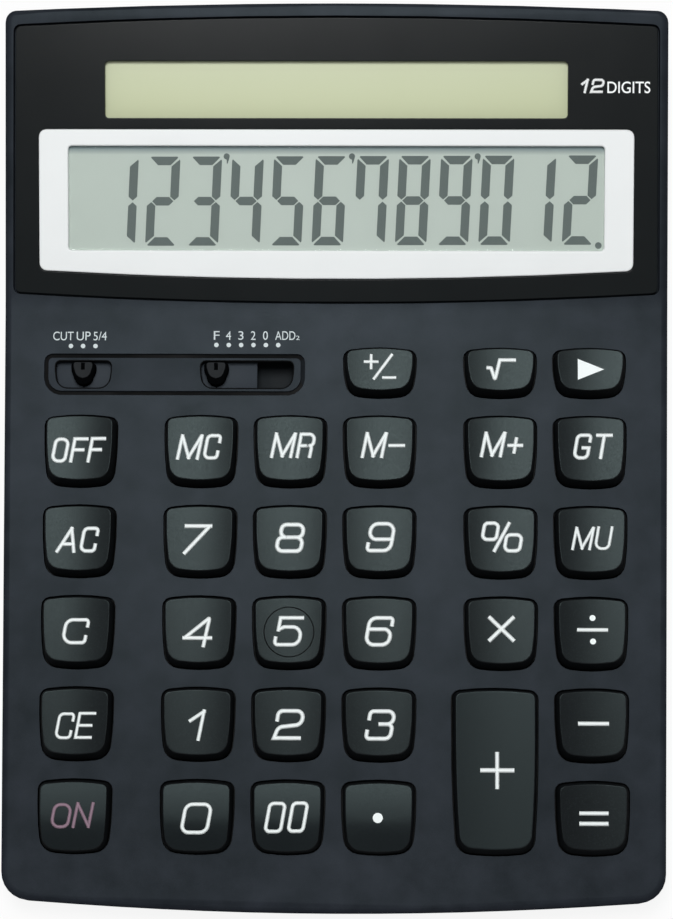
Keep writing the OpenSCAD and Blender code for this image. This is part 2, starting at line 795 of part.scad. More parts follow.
module display_glass() {
    color([0.7, 0.75, 0.7])
        on_head()
            plate(view_plan(glass_margin), glass_n, panel_n);
}

module solar_cell() {
    color([0.8, 0.82, 0.68])
        on_head()
            plate(solar_plan(solar_margin), solar_n, panel_n);
}

module display_holder() {
    edge = holder_x + 2.4;
    lead_hole = [solar_half_w - 6, solar_half_w - 1];
    pad = oblong(solar_half_w - 1, solar_front + 1, solar_rear - 1, 1);
    color([0.75, 0.75, 0.72])
        on_head()
            difference() {
                union() {
                    plate(oblong(edge, holder_front, holder_rear, 2), holder_n, glass_n);
                    plate(pad, glass_n - 0.5, solar_n);
                }
                for (p = holder_screws_at)
                    rod(p, board_screw_d + 2 * screw_gap, holder_n - 1, glass_n + 1);
                block(lead_hole, [solar_front + 3, solar_rear - 3], holder_n - 1, solar_n + 1);
            }
}

// Points of the deck and the head in the case's own frame, seen from the side
function deck_point(y, n) = [
    fold_y + y * cos(deck_tilt) - n * sin(deck_tilt),
    fold_z + y * sin(deck_tilt) + n * cos(deck_tilt)
];
function head_point(y, n) = [
    fold_y + y * cos(head_tilt) - n * sin(head_tilt),
    fold_z + y * sin(head_tilt) + n * cos(head_tilt)
];

module display_ribbon() {
    glass_edge = view_front - glass_margin;
    land = -board_d;
    upper = [
        deck_point(-board_rear - 3, land + ribbon_t),
        deck_point(-board_rear, land + ribbon_t),
        head_point(glass_edge - 1, glass_n - 0.6),
        head_point(glass_edge + 0.3, glass_n)
    ];
    lower = [
        head_point(glass_edge + 1.2, glass_n),
        head_point(glass_edge + 1.2, glass_n - ribbon_t),
        head_point(glass_edge + 0.2, glass_n - ribbon_t - 0.3),
        deck_point(-board_rear + 0.6, land),
        deck_point(-board_rear - 3, land)
    ];
    color([0.75, 0.55, 0.25])
        translate([-ribbon_w - 4, 0, 0])
            rotate([90, 0, 90])
                linear_extrude(ribbon_w)
                    polygon(concat(upper, lower));
}

// Round wire swept along a row of points that all lie at one X, with a mitred ring at each
module wire(x, points, d) {
    sides = 8;
    last = len(points) - 1;
    function unit(v) = v / norm(v);
    function run(i) = unit(points[i + 1] - points[i]);
    function across(i) = let(
        t = i == 0 ? run(0) : i == last ? run(last - 1) : unit(run(i - 1) + run(i)),
        lean = i == 0 || i == last ? 1 : t * run(i)
    ) [-t[1], t[0]] / lean;
    rings = [
        for (i = [0:last], a = [0:360 / sides:359])
            let(p = points[i] + across(i) * sin(a) * d / 2)
                [x + cos(a) * d / 2, p[0], p[1]]
    ];
    walls = [
        for (i = [0:last - 1], j = [0:sides - 1])
            let(a = i * sides + j, b = i * sides + (j + 1) % sides)
                each [[a, a + sides, b + sides], [a, b + sides, b]]
    ];
    polyhedron(rings, concat(
        [[for (j = [0:sides - 1]) j]],
        walls,
        [[for (j = [sides - 1:-1:0]) last * sides + j]]
    ));
}

module solar_leads() {
    at = (solar_front + solar_rear) / 2;
    below = -board_d - board_t;
    start = head_point(at, solar_n);
    drop = head_point(at, holder_n - 3);
    low = deck_point(-board_rear - 4, below - 3);
    solder = deck_point(-board_rear - 4, below);
    color([0.6, 0.1, 0.1])
        for (x = [solar_half_w - 4.6, solar_half_w - 2.4])
            wire(x, [start, drop, low, solder], lead_d);
}

// Slide switch in the deck's frame: knob, slide plate and foot over the board
module slide(x) {
    knob_l = slot_l - 2 * key_gap;
    half_l = slide_l / 2;
    half_across = slide_w / 2;
    color(slide_grey)
        on_deck()
            translate([x, -tray_mid, 0])
                difference() {
                    union() {
                        plate(shield(knob_w, knob_l, 0.8, 2.2, 0.7, 0, 0.3), slide_n - 0.2, knob_h * 0.5);
                        translate([0, 0.3, 0])
                            plate(shield(knob_w - 1.6, knob_l - 1.6, 0.6, 1.6, 0.5, 0, 0.2), 0, knob_h);
                        block([-half_l, half_l], [-half_across, half_across], slide_n - slide_t, slide_n);
                        block([-3, 3], [-2.4, 2.4], foot_n, slide_n - slide_t / 2);
                    }
                    block([-0.35, 0.35], [0.6, knob_l], knob_h - 0.4, knob_h + 1);
                }
}

// Spring wiper under a slide, with two rounded contacts
module wiper(x) {
    color([0.8, 0.7, 0.4])
        on_deck()
            translate([x, -tray_mid, 0]) {
                block([-2.8, 2.8], [-2.2, 2.2], foot_n - 0.3, foot_n);
                for (s = [-1, 1])
                    rod([s * 1.8, 0], 1, foot_n - 0.6, foot_n - 0.2);
            }
}

module rounding_slide() {
    slide(rounding_x);
}

module rounding_wiper() {
    wiper(rounding_x);
}

module decimal_slide() {
    slide(decimal_x);
}

module decimal_wiper() {
    wiper(decimal_x);
}

// Rubber dome with a contact pill under its crown
module dome() {
    foot_r = dome_d / 2;
    top_r = dome_top_d / 2;
    crown = dome_n - 0.9;
    rotate_extrude()
        polygon([
            [0, pill_n],
            [pill_d / 2, pill_n],
            [pill_d / 2, crown],
            [top_r - dome_wall, crown],
            [foot_r - dome_wall, sheet_n - sheet_t],
            [foot_r, sheet_n - sheet_t],
            [foot_r, sheet_n],
            [top_r, dome_n],
            [0, dome_n]
        ]);
}

// Middles of the holes that the upright case bosses pass, at the board's depth
function strip_holes() = [
    for (x = strips, d = [case_screw_mid, case_screw_front]) [x, -d - board_d * tan(deck_tilt)]
];

module dome_sheet() {
    rear = rows[0] + dome_d / 2 + 1;
    step = -tray_mid - slide_w / 2 - 3;
    edge = board_half_w - 0.5;
    color([0.8, 0.8, 0.76])
        on_deck() {
            difference() {
                union() {
                    block([-edge, edge], [-board_front + 0.5, step], -board_d, sheet_n);
                    block([0, edge], [step - 1, rear], -board_d, sheet_n);
                }
                for (k = keys, y = dome_ys(k))
                    rod([key_x(k), key_y(k) + y], dome_d - 0.4, -board_d - 1, 0);
                for (p = board_screws_at)
                    rod(p, board_boss_d + 2 * boss_gap, -board_d - 1, 0);
                for (p = strip_holes())
                    rod(p, case_boss_d + 2 * boss_gap + 0.4, -board_d - 1, 0);
            }
            for (k = keys, y = dome_ys(k))
                translate([key_x(k), key_y(k) + y, 0])
                    dome();
        }
}

module circuit_board() {
    edge = [-board_half_w, board_half_w];
    color([0.15, 0.35, 0.2])
        on_deck()
            difference() {
                block(edge, [-board_front, -board_rear], -board_d - board_t, -board_d);
                for (p = board_screws_at)
                    rod(p, board_screw_d + 2 * screw_gap, -board_d - board_t - 1, -board_d + 1);
                for (p = strip_holes())
                    rod(p, case_boss_d + 2 * boss_gap, -board_d - board_t - 1, -board_d + 1);
            }
}

// Low dome of resin, stepped round its arc
module processor() {
    ball_r = (pow(blob_d / 2, 2) + pow(blob_h, 2)) / (2 * blob_h);
    half_angle = asin(blob_d / 2 / ball_r);
    color([0.08, 0.08, 0.08])
        on_deck()
            translate([blob_x, -blob_away, -board_d - board_t])
                rotate_extrude()
                    polygon(concat([[0, 0]], [
                        for (i = [0:5])
                            let(a = half_angle * (1 - i / 5))
                                [ball_r * sin(a), ball_r - blob_h - ball_r * cos(a)]
                    ]));
}

module capacitor() {
    face = -board_d - board_t;
    color([0.2, 0.25, 0.4])
        on_deck()
            rod([capacitor_x, -capacitor_away], capacitor_d, face - capacitor_h, face);
}

// Pan-head screw, pointing up from the underside of its head
module screw(shank_d, shank_l, head_d, head_h) {
    difference() {
        union() {
            translate([0, 0, -head_h])
                cylinder(d = head_d, h = head_h);
            cylinder(d = shank_d, h = shank_l);
        }
        for (a = [0, 90])
            rotate([0, 0, a])
                translate([-head_d * 0.32, -0.3, -head_h - 1])
                    cube([head_d * 0.64, 0.6, 1 + head_h * 0.5]);
    }
}

module board_screws() {
    color([0.7, 0.7, 0.72]) {
        on_deck()
            for (p = board_screws_at)
                translate([p[0], p[1], -board_d - board_t])
                    screw(board_screw_d, board_screw_l, board_head_d, board_head_h);
        on_head()
            for (p = holder_screws_at)
                translate([p[0], p[1], holder_n])
                    screw(board_screw_d, board_screw_l - 1, board_head_d, board_head_h);
    }
}

module case_screws() {
    color([0.7, 0.7, 0.72])
        for (p = case_screws_at)
            translate([p[0], p[1], foot_h + counterbore_h])
                screw(case_screw_d, case_screw_l, case_head_d, case_head_h);
}

module feet() {
    color([0.12, 0.12, 0.12])
        for (x = [-1, 1], y = [-1, 1])
            rod([x * foot_x, y * foot_y], foot_d, 0, foot_h + foot_seat);
}

for (k = keys)
    key(k);
upper_case_deck();
upper_case_head();
lower_case();
display_panel();
display_frame();
display_window();
display_glass();
solar_cell();
display_holder();
display_ribbon();
solar_leads();
rounding_slide();
rounding_wiper();
decimal_slide();
decimal_wiper();
dome_sheet();
circuit_board();
processor();
capacitor();
board_screws();
case_screws();
feet();
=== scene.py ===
import bpy
import bmesh
import math
from mathutils import Matrix, Vector


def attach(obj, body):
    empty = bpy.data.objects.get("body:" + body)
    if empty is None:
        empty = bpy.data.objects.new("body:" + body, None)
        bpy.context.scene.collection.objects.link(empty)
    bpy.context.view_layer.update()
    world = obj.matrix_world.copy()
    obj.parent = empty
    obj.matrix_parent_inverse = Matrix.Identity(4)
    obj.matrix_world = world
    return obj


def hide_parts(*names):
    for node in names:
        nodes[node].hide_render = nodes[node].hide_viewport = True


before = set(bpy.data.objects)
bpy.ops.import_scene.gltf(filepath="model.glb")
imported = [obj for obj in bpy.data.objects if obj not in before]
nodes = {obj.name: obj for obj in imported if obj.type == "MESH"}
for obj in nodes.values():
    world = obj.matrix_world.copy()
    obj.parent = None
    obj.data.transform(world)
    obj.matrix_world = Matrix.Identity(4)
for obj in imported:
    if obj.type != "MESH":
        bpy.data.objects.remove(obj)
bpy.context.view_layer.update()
mm = 0.001
print("frame loaded,", len(nodes), "nodes")

# slopes of the case, as in the part's source, in mm and degrees
caseSlopes = dict(
    deckTilt=3.0, headTilt=14.5, deckLength=135.4, headLength=68.0, frontHeight=12.6, foldSoft=2.5,
)
deckRun = caseSlopes["deckLength"] * math.cos(math.radians(caseSlopes["deckTilt"]))
headRun = caseSlopes["headLength"] * math.cos(math.radians(caseSlopes["headTilt"]))
foldY = (deckRun - headRun) / 2
foldZ = caseSlopes["frontHeight"] + caseSlopes["deckLength"] * math.sin(math.radians(caseSlopes["deckTilt"]))


def slopeFrame(tilt):  # x across, y up the slope from the fold, z off the surface
    return Matrix.Translation((0, foldY * mm, foldZ * mm)) @ Matrix.Rotation(math.radians(tilt), 4, "X")


onDeck = slopeFrame(caseSlopes["deckTilt"])
onHead = slopeFrame(caseSlopes["headTilt"])
offDeck = onDeck.inverted()
offHead = onHead.inverted()

# small bench tools, with the limits they share: m and degrees
bench = dict(merge=2e-6, flat=0.6, bevelFrom=30, smoothTo=32, firmNormals=100)


def deselectAll():
    bpy.ops.object.select_all(action="DESELECT")


def makeActive(piece):
    deselectAll()
    piece.select_set(True)
    bpy.context.view_layer.objects.active = piece


def newPiece(name, data):
    piece = bpy.data.objects.new(name, data)
    bpy.context.scene.collection.objects.link(piece)
    return piece


def copyPiece(piece, name):  # each copy has its own mesh
    return newPiece(name, piece.data.copy())


def setPlace(piece, matrix):  # the place ends up in the mesh
    makeActive(piece)
    piece.matrix_world = matrix
    bpy.ops.object.transform_apply(location=True, rotation=True, scale=True)


def useModifier(piece, kind, **settings):
    makeActive(piece)
    modifier = piece.modifiers.new(kind.title(), kind)
    for key, value in settings.items():
        setattr(modifier, key, value)
    bpy.ops.object.modifier_apply(modifier=modifier.name)


def smoothBy(piece, angle):
    makeActive(piece)
    bpy.ops.object.shade_smooth_by_angle(angle=math.radians(angle))


def giveFinish(piece, *finishes):  # faces keep the finish number they were given
    numbers = [face.material_index for face in piece.data.polygons]
    piece.data.materials.clear()
    for finish in finishes:
        piece.data.materials.append(finish.material)
    for face, number in zip(piece.data.polygons, numbers):
        face.material_index = min(number, len(finishes) - 1)


def carry(piece, body, slot, *replaced):
    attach(piece, body)
    if replaced:
        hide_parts(*replaced)


def joinPieces(name, pieces):
    deselectAll()
    for piece in pieces:
        piece.select_set(True)
    bpy.context.view_layer.objects.active = pieces[0]
    if len(pieces) > 1:
        bpy.ops.object.join()
    piece = bpy.context.object
    piece.name = name
    return piece


def selectFaces(piece, wanted):  # in edit mode
    bpy.ops.mesh.select_mode(type="FACE")
    bpy.ops.mesh.select_all(action="DESELECT")
    work = bmesh.from_edit_mesh(piece.data)
    for face in work.faces:
        face.select_set(wanted(face))
    bmesh.update_edit_mesh(piece.data)


def setRing(piece, before, ring):  # moves the selected ring of points on to its own outline
    work = bmesh.from_edit_mesh(piece.data)
    if before is None:
        for vert, point in zip(work.verts, ring):
            vert.co = point
    else:
        for vert in work.verts:
            if vert.select:
                nearest = min(range(len(before)), key=lambda i: (before[i] - vert.co).length_squared)
                vert.co = ring[nearest]
    bmesh.update_edit_mesh(piece.data)


def loftPiece(name, rings):  # a disc pulled up ring by ring
    rings = [[Vector(point) * mm for point in ring] for ring in rings]
    deselectAll()
    bpy.ops.mesh.primitive_circle_add(vertices=len(rings[0]), radius=1, fill_type="NGON")
    piece = bpy.context.object
    piece.name = name
    bpy.ops.object.mode_set(mode="EDIT")
    setRing(piece, None, rings[0])
    for low, high in zip(rings, rings[1:]):
        bpy.ops.mesh.extrude_region_move()
        setRing(piece, low, high)
    bpy.ops.mesh.select_all(action="SELECT")
    bpy.ops.mesh.normals_make_consistent(inside=False)
    bpy.ops.object.mode_set(mode="OBJECT")
    return piece


def softCopy(name, sources, width, segments=2, cutY=None):  # merged copy of nodes with its edges eased
    piece = joinPieces(name, [copyPiece(nodes[node], name) for node in sources])
    bpy.ops.object.mode_set(mode="EDIT")
    bpy.ops.mesh.select_mode(type="FACE")
    bpy.ops.mesh.select_all(action="SELECT")
    bpy.ops.mesh.customdata_custom_splitnormals_clear()
    if cutY is not None:  # the faces where two nodes of one moulding meet go
        seam = cutY * mm
        selectFaces(piece, lambda face: all(abs(v.co.y - seam) < bench["merge"] for v in face.verts))
        bpy.ops.mesh.delete(type="FACE")
        bpy.ops.mesh.select_all(action="SELECT")
    bpy.ops.mesh.remove_doubles(threshold=bench["merge"])
    bpy.ops.mesh.dissolve_limited(angle_limit=math.radians(bench["flat"]))
    bpy.ops.object.mode_set(mode="OBJECT")
    useModifier(piece, "BEVEL", width=width * mm, segments=segments, limit_method="ANGLE",
                angle_limit=math.radians(bench["bevelFrom"]), use_clamp_overlap=True)
    smoothBy(piece, bench["smoothTo"])
    useModifier(piece, "WEIGHTED_NORMAL", keep_sharp=True, weight=bench["firmNormals"])
    return piece


def arcPoints(x, y, radius, angles):
    turns = [math.radians(angle) for angle in angles]
    return [(x + radius * math.cos(turn), y + radius * math.sin(turn)) for turn in turns]


def disc(x, y, radius, sides=28):
    return arcPoints(x, y, radius, [360 * i / sides for i in range(sides)])


# outline of keys, knobs and slots: steps along each edge and degrees along each corner
outlineSteps = dict(
    edge=4, side=6, frontAngles=[9.5 * i - 84 for i in range(9)], rearAngles=range(0, 86, 17),
)


def shieldOutline(width, length, rearR, frontR, taper, rearBow, frontBow):
    frontX, rearX = width / 2 - taper - frontR, width / 2 - rearR
    frontC, rearC = -length / 2 + frontBow + frontR, length / 2 - rearBow - rearR
    edge, side = outlineSteps["edge"], outlineSteps["side"]
    half = [(frontX * i / edge, -length / 2 + frontBow * (i / edge) ** 2) for i in range(edge)]
    half += arcPoints(frontX, frontC, frontR, outlineSteps["frontAngles"])
    for i in range(1, side):  # the side draws in towards the front
        half.append((width / 2 - taper * ((side - i) / side) ** 3, frontC + (rearC - frontC) * i / side))
    half += arcPoints(rearX, rearC, rearR, outlineSteps["rearAngles"])
    half += [(rearX * i / edge, length / 2 - rearBow * (i / edge) ** 2) for i in reversed(range(edge))]
    return half + [(-x, y) for x, y in half[-2:0:-1]]


# finishes

class Lead:  # a socket that takes part in sums
    def __init__(self, finish, socket):
        self.finish = finish
        self.socket = socket

    def __add__(self, other):
        return self.finish.add("ShaderNodeMath", {0: self, 1: other}, operation="ADD")

    def __mul__(self, other):
        return self.finish.add("ShaderNodeMath", {0: self, 1: other}, operation="MULTIPLY")

    __radd__ = __add__
    __rmul__ = __mul__


class Finish:
    def __init__(self, name, store=bpy.data.materials):
        self.material = store.new(name)
        self.material.use_nodes = True
        self.tree = self.material.node_tree
        self.tree.nodes.clear()

    def add(self, kind, sockets=None, out=0, **settings):  # settings first, then values and links
        node = self.tree.nodes.new(kind)
        for key, value in settings.items():
            setattr(node, key, value)
        for key, value in (sockets or {}).items():
            if isinstance(value, Lead):
                self.tree.links.new(value.socket, node.inputs[key])
            else:
                node.inputs[key].default_value = value
        return Lead(self, node.outputs[out]) if len(node.outputs) else None

    def place(self, kind="Object"):
        return self.add("ShaderNodeTexCoord", out=kind)

    def noise(self, where, scale, detail=2.0, rough=0.5):
        sockets = {"Vector": where, "Scale": scale, "Detail": detail, "Roughness": rough}
        return self.add("ShaderNodeTexNoise", sockets, "Fac")

    def blend(self, factor, first, second):  # the numbers are the Mix node's colour sockets
        return self.add("ShaderNodeMix", {0: factor, 6: first, 7: second}, 2, data_type="RGBA")

    def remap(self, value, low, high, newLow=0.0, newHigh=1.0):
        sockets = {0: value, 1: low, 2: high, 3: newLow, 4: newHigh}
        return self.add("ShaderNodeMapRange", sockets, clamp=True)

    def axis(self, where, name):
        return self.add("ShaderNodeSeparateXYZ", {0: where}, name)

    def bump(self, height, strength, distance):
        return self.add("ShaderNodeBump", {"Height": height, "Strength": strength, "Distance": distance})

    def mix(self, factor, first, second):
        return self.add("ShaderNodeMixShader", {0: factor, 1: first, 2: second})

    def surface(self, **sockets):
        named = {key.replace("_", " "): value for key, value in sockets.items()}
        return self.add("ShaderNodeBsdfPrincipled", named)

    def done(self, shader, output="ShaderNodeOutputMaterial"):
        self.add(output, {"Surface": shader})
        return self


def toLinear(*screenColour):  # from 0 to 255 on screen to Blender's own scale
    parts = [part / 255 for part in screenColour]
    return tuple(p / 12.92 if p <= 0.04045 else ((p + 0.055) / 1.055) ** 2.4 for p in parts) + (1,)


# noise scales, and the spans in which noise and slope take effect; the slope span is where the painted shade
# of side walls comes in
surfaceMarks = dict(
    cloud=150, patch=38, contrast=(0.3, 0.7), slope=(0.35, 0.97),
    grainSpan=(0.25, 0.75), grainRough=(-0.05, 0.06), grainDeep=0.00004,
    smear=55, smearSpan=(0.3, 0.75), smearRough=(0.6, 0.02),
)


# fine spark-eroded plastic; where asked, painted shade: a darker colour on its side walls, faded in as the
# surface turns away from facing up
def mouldedFinish(name, dark, light, rough, grain, depth, specular=0.5, tint=(0.88, 0.96, 1.0),
                  shares=(0.55, 0.0, 0.45), wall=None):
    finish = Finish(name)
    where = finish.place()
    fine = finish.noise(where, grain, detail=3, rough=0.6)
    cloud = finish.noise(where, surfaceMarks["cloud"], detail=3, rough=0.55)
    patch = finish.noise(where, surfaceMarks["patch"])
    mask = finish.remap(fine * shares[0] + cloud * shares[1] + patch * shares[2], *surfaceMarks["contrast"])
    colour = finish.blend(mask, toLinear(*dark), toLinear(*light))
    if wall:
        upright = finish.axis(finish.place("Normal"), "Z")
        colour = finish.blend(finish.remap(upright, *surfaceMarks["slope"]), toLinear(*wall), colour)
    least, most = surfaceMarks["grainRough"]
    spread = finish.remap(fine, *surfaceMarks["grainSpan"], rough + least, rough + most)
    normal = finish.bump(fine, depth, surfaceMarks["grainDeep"])
    shader = finish.surface(Base_Color=colour, Roughness=spread, Normal=normal,
                            Specular_IOR_Level=specular, Specular_Tint=(*tint, 1))
    return finish.done(shader)


# smooth surface with faint handling marks
def polishedFinish(name, dark, light, rough, specular=0.5, metal=0.0, smears=1.0):
    finish = Finish(name)
    smear = finish.noise(finish.place(), surfaceMarks["smear"], detail=4, rough=0.6)
    colour = finish.blend(smear, toLinear(*dark), toLinear(*light))
    share, extra = surfaceMarks["smearRough"]
    spread = finish.remap(smear, *surfaceMarks["smearSpan"], rough, rough + (rough * share + extra) * smears)
    shader = finish.surface(Base_Color=colour, Roughness=spread, Specular_IOR_Level=specular, Metallic=metal)
    return finish.done(shader)


def displayFinish():  # grey-green glass, with a painted shadow of the rear edge of its opening: a cooler, darker band along its rear
    look = dict(
        dark=(182, 194, 185), light=(190, 201, 194), rearShadow=(118, 135, 137), rearShadowY=(0.0679, 0.0693), haze=30,
    )
    finish = Finish("displayGreen")
    where = finish.place()
    rearShadow = finish.remap(finish.axis(where, "Y"), *look["rearShadowY"])
    haze = finish.noise(where, look["haze"], detail=3)
    base = finish.blend(haze, toLinear(*look["dark"]), toLinear(*look["light"]))
    colour = finish.blend(rearShadow, base, toLinear(*look["rearShadow"]))
    return finish.done(finish.surface(Base_Color=colour, Roughness=0.42, Specular_IOR_Level=0.3))


def solarFinish():  # pale film, a little lighter to the rear
    look = dict(front=(187, 194, 152), rear=(199, 206, 172), fadeY=(0.073, 0.088), haze=60, hazeShare=0.25)
    finish = Finish("solarPale")
    where = finish.place()
    rear = finish.remap(finish.axis(where, "Y"), *look["fadeY"])
    haze = finish.noise(where, look["haze"], detail=4, rough=0.6)
    fade = rear * (1 - look["hazeShare"]) + haze * look["hazeShare"]
    colour = finish.blend(fade, toLinear(*look["front"]), toLinear(*look["rear"]))
    return finish.done(finish.surface(Base_Color=colour, Roughness=0.32, Specular_IOR_Level=0.35))


def windowFinish():  # thin clear sheet: mostly seen through, with a weak gloss
    look = dict(ior=1.35, gloss=0.6, rough=0.04)
    finish = Finish("windowClear")
    clear = finish.add("ShaderNodeBsdfTransparent", {"Color": (1, 1, 1, 1)})
    gloss = finish.add("ShaderNodeBsdfGlossy", {"Color": (1, 1, 1, 1), "Roughness": look["rough"]})
    facing = finish.add("ShaderNodeFresnel", {"IOR": look["ior"]})
    return finish.done(finish.mix(facing * look["gloss"], clear, gloss))


caseLook = dict(
    dark=(25, 29, 33), light=(46, 50, 57), rough=0.36, grain=3600, depth=0.25,
    tint=(0.74, 0.92, 1.0), shares=(0.2, 0.45, 0.35),
)
keyLook = dict(grain=2600, depth=0.10, tint=(0.77, 1.0, 1.0))
caseFinish = mouldedFinish("caseCharcoal", specular=0.068, **caseLook)
# painted shade: the side walls of the case get a darker colour
caseWallShadeFinish = mouldedFinish("caseWallPaintedShade", specular=0.0, wall=(35, 38, 44), **caseLook)
trayFinish = mouldedFinish("trayCharcoal", specular=0.048, **caseLook)
caseUnderFinish = mouldedFinish("caseUnder", (32, 36, 41), (44, 48, 54), 0.45,
                                grain=2200, depth=0.35, specular=0.3)
# painted shade: a darker colour for the floor and walls of the groove round the tray
grooveFinish = polishedFinish("grooveShade", (23, 27, 31), (28, 32, 36), 0.6, specular=0.06)
keyTopFinish = mouldedFinish("keySatinTop", (21, 23, 25), (26, 28, 30), 0.25, specular=0.083, **keyLook)
# painted sheen: the tall and rolled keys get a lighter copy of the key top colour
broadTopSheenFinish = mouldedFinish("keyBroadTopPaintedSheen", (23, 27, 29), (28, 32, 34), 0.34, specular=0.112, **keyLook)
# painted shade: the skirts of the keys are darker than their tops
keyWallShadeFinish = polishedFinish("keyWallPaintedShade", (9, 11, 12), (14, 16, 17), 0.4, specular=0.1)
# painted shade: near-black for the walls of the key holes and slots and for the ring round each slot's edge
holeFinish = polishedFinish("holeShade", (5, 6, 7), (8, 9, 10), 0.5, specular=0.08)
panelFinish = polishedFinish("panelBlack", (22, 25, 26), (26, 29, 30), 0.2, specular=0.078, smears=0.15)
bezelFinish = polishedFinish("bezelWhite", (232, 235, 235), (239, 242, 242), 0.28, specular=0.4)
plateFinish = mouldedFinish("slidePlateGrey", (45, 51, 58), (53, 59, 66), 0.55,
                            grain=2600, depth=0.1, specular=0.15)
# painted shade: near-black for the walls of the knobs and for the notch mark on their tops
knobWallShadeFinish = polishedFinish("knobWallPaintedShade", (4, 5, 6), (7, 8, 9), 0.6, specular=0.0)
knobTopFinish = mouldedFinish("knobGrey", (26, 28, 30), (33, 35, 37), 0.55,
                              grain=2600, depth=0.15, specular=0.1)
countFinish = polishedFinish("markBright", (243, 247, 246), (250, 252, 252), 0.45, specular=0.3)
markFinish = polishedFinish("markWhite", (244, 253, 252), (251, 255, 255), 0.45, specular=0.3)
scaleFinish = polishedFinish("scaleWhite", (204, 214, 216), (216, 225, 227), 0.45, specular=0.3)
roseFinish = polishedFinish("markRose", (138, 112, 127), (152, 126, 141), 0.45, specular=0.3)
segmentFinish = polishedFinish("segmentGrey", (92, 104, 101), (104, 114, 112), 0.5, specular=0.2)
footFinish = mouldedFinish("footRubber", (20, 20, 21), (28, 28, 29), 0.75,
                           grain=1800, depth=0.3, specular=0.3)
steelFinish = polishedFinish("screwSteel", (150, 152, 156), (176, 178, 182), 0.3, metal=1.0)
wiperFinish = polishedFinish("wiperBrass", (200, 168, 96), (214, 184, 112), 0.3, metal=1.0)
print("finishes made")

# case: the upper moulding, panel, frame and window with their edges eased, in mm
caseEdges = dict(upper=0.22, panel=0.2, bezel=0.35, window=0.1, windowLift=0.06, windowUnder=-0.9)
upperNodes = ("upper_case_deck", "upper_case_head")
upperCase = softCopy("upperCase", upperNodes, caseEdges["upper"], cutY=foldY - caseSlopes["foldSoft"])
giveFinish(upperCase, caseFinish, grooveFinish, holeFinish, caseWallShadeFinish, trayFinish)
faceKinds = dict(deck=0, groove=1, hole=2, wall=3, tray=4)  # in the order of the finishes above
# where the holes and slots are, and the tray's half sizes outside and inside its groove, in mm on the deck
deckZone = dict(halfX=68, front=-126, rear=-6, below=-0.28, level=0.93)
trayZone = dict(x=-36.2, y=-15.9, outer=(30.0, 4.8), inner=(27.8, 3.65))


def inTray(spot, half):
    return abs(spot.x - trayZone["x"]) < half[0] and abs(spot.y - trayZone["y"]) < half[1]


# faces in the holes, in the tray's groove and on the side walls get painted shade; the deck and the tray keep
# the plastic's own colour
def faceKind(face):
    spot = offDeck @ face.center / mm
    if abs(spot.x) >= deckZone["halfX"] or not deckZone["front"] < spot.y < deckZone["rear"]:
        return "wall" if face.normal.z < deckZone["level"] else "deck"
    if spot.z < deckZone["below"]:
        inGroove = inTray(spot, trayZone["outer"]) and not inTray(spot, trayZone["inner"])
        return "groove" if inGroove else "hole"
    corners = [offDeck @ upperCase.data.vertices[number].co / mm for number in face.vertices]
    return "tray" if all(inTray(corner, trayZone["outer"]) for corner in corners) else "deck"


for face in upperCase.data.polygons:
    face.material_index = faceKinds[faceKind(face)]
carry(upperCase, "case", "case_plastic", *upperNodes)

displayPanel = softCopy("displayPanel", ("display_panel",), caseEdges["panel"])
giveFinish(displayPanel, panelFinish)
carry(displayPanel, "case", "panel_gloss", "display_panel")

displayBezel = softCopy("displayBezel", ("display_frame",), caseEdges["bezel"], segments=3)
giveFinish(displayBezel, bezelFinish)
carry(displayBezel, "case", "frame_white", "display_frame")

displayWindow = softCopy("displayWindow", ("display_window",), caseEdges["window"])
bpy.ops.object.mode_set(mode="EDIT")
selectFaces(displayWindow, lambda face: (offHead.to_3x3() @ face.normal).z < caseEdges["windowUnder"])
liftOff = onHead.to_3x3() @ Vector((0, 0, caseEdges["windowLift"] * mm))
bpy.ops.transform.translate(value=liftOff)  # leaves room for the digits on the glass
bpy.ops.object.mode_set(mode="OBJECT")
giveFinish(displayWindow, windowFinish())
carry(displayWindow, "case", "window_clear", "display_window")

# nodes that stay as they are and only get a finish
nodeFinishes = dict(
    lower_case=caseUnderFinish, feet=footFinish, case_screws=steelFinish, board_screws=steelFinish,
    display_glass=displayFinish(), solar_cell=solarFinish(),
    display_holder=mouldedFinish("holderGrey", (186, 186, 180), (200, 200, 194), 0.5, grain=1500, depth=0.1),
    display_ribbon=polishedFinish("ribbonAmber", (170, 120, 50), (190, 138, 62), 0.3),
    solar_leads=polishedFinish("leadRed", (150, 22, 20), (170, 30, 26), 0.4),
    dome_sheet=mouldedFinish("domeRubber", (200, 198, 186), (212, 210, 200), 0.6, grain=1200, depth=0.1),
    circuit_board=polishedFinish("boardDark", (22, 27, 31), (27, 33, 37), 0.5, specular=0.12),
    processor=polishedFinish("resinBlack", (16, 16, 17), (24, 24, 25), 0.2),
    capacitor=polishedFinish("capacitorBlue", (40, 48, 84), (52, 60, 98), 0.3),
    rounding_wiper=wiperFinish, decimal_wiper=wiperFinish,
)
for node, finish in nodeFinishes.items():
    giveFinish(nodes[node], finish)
print("case dressed")

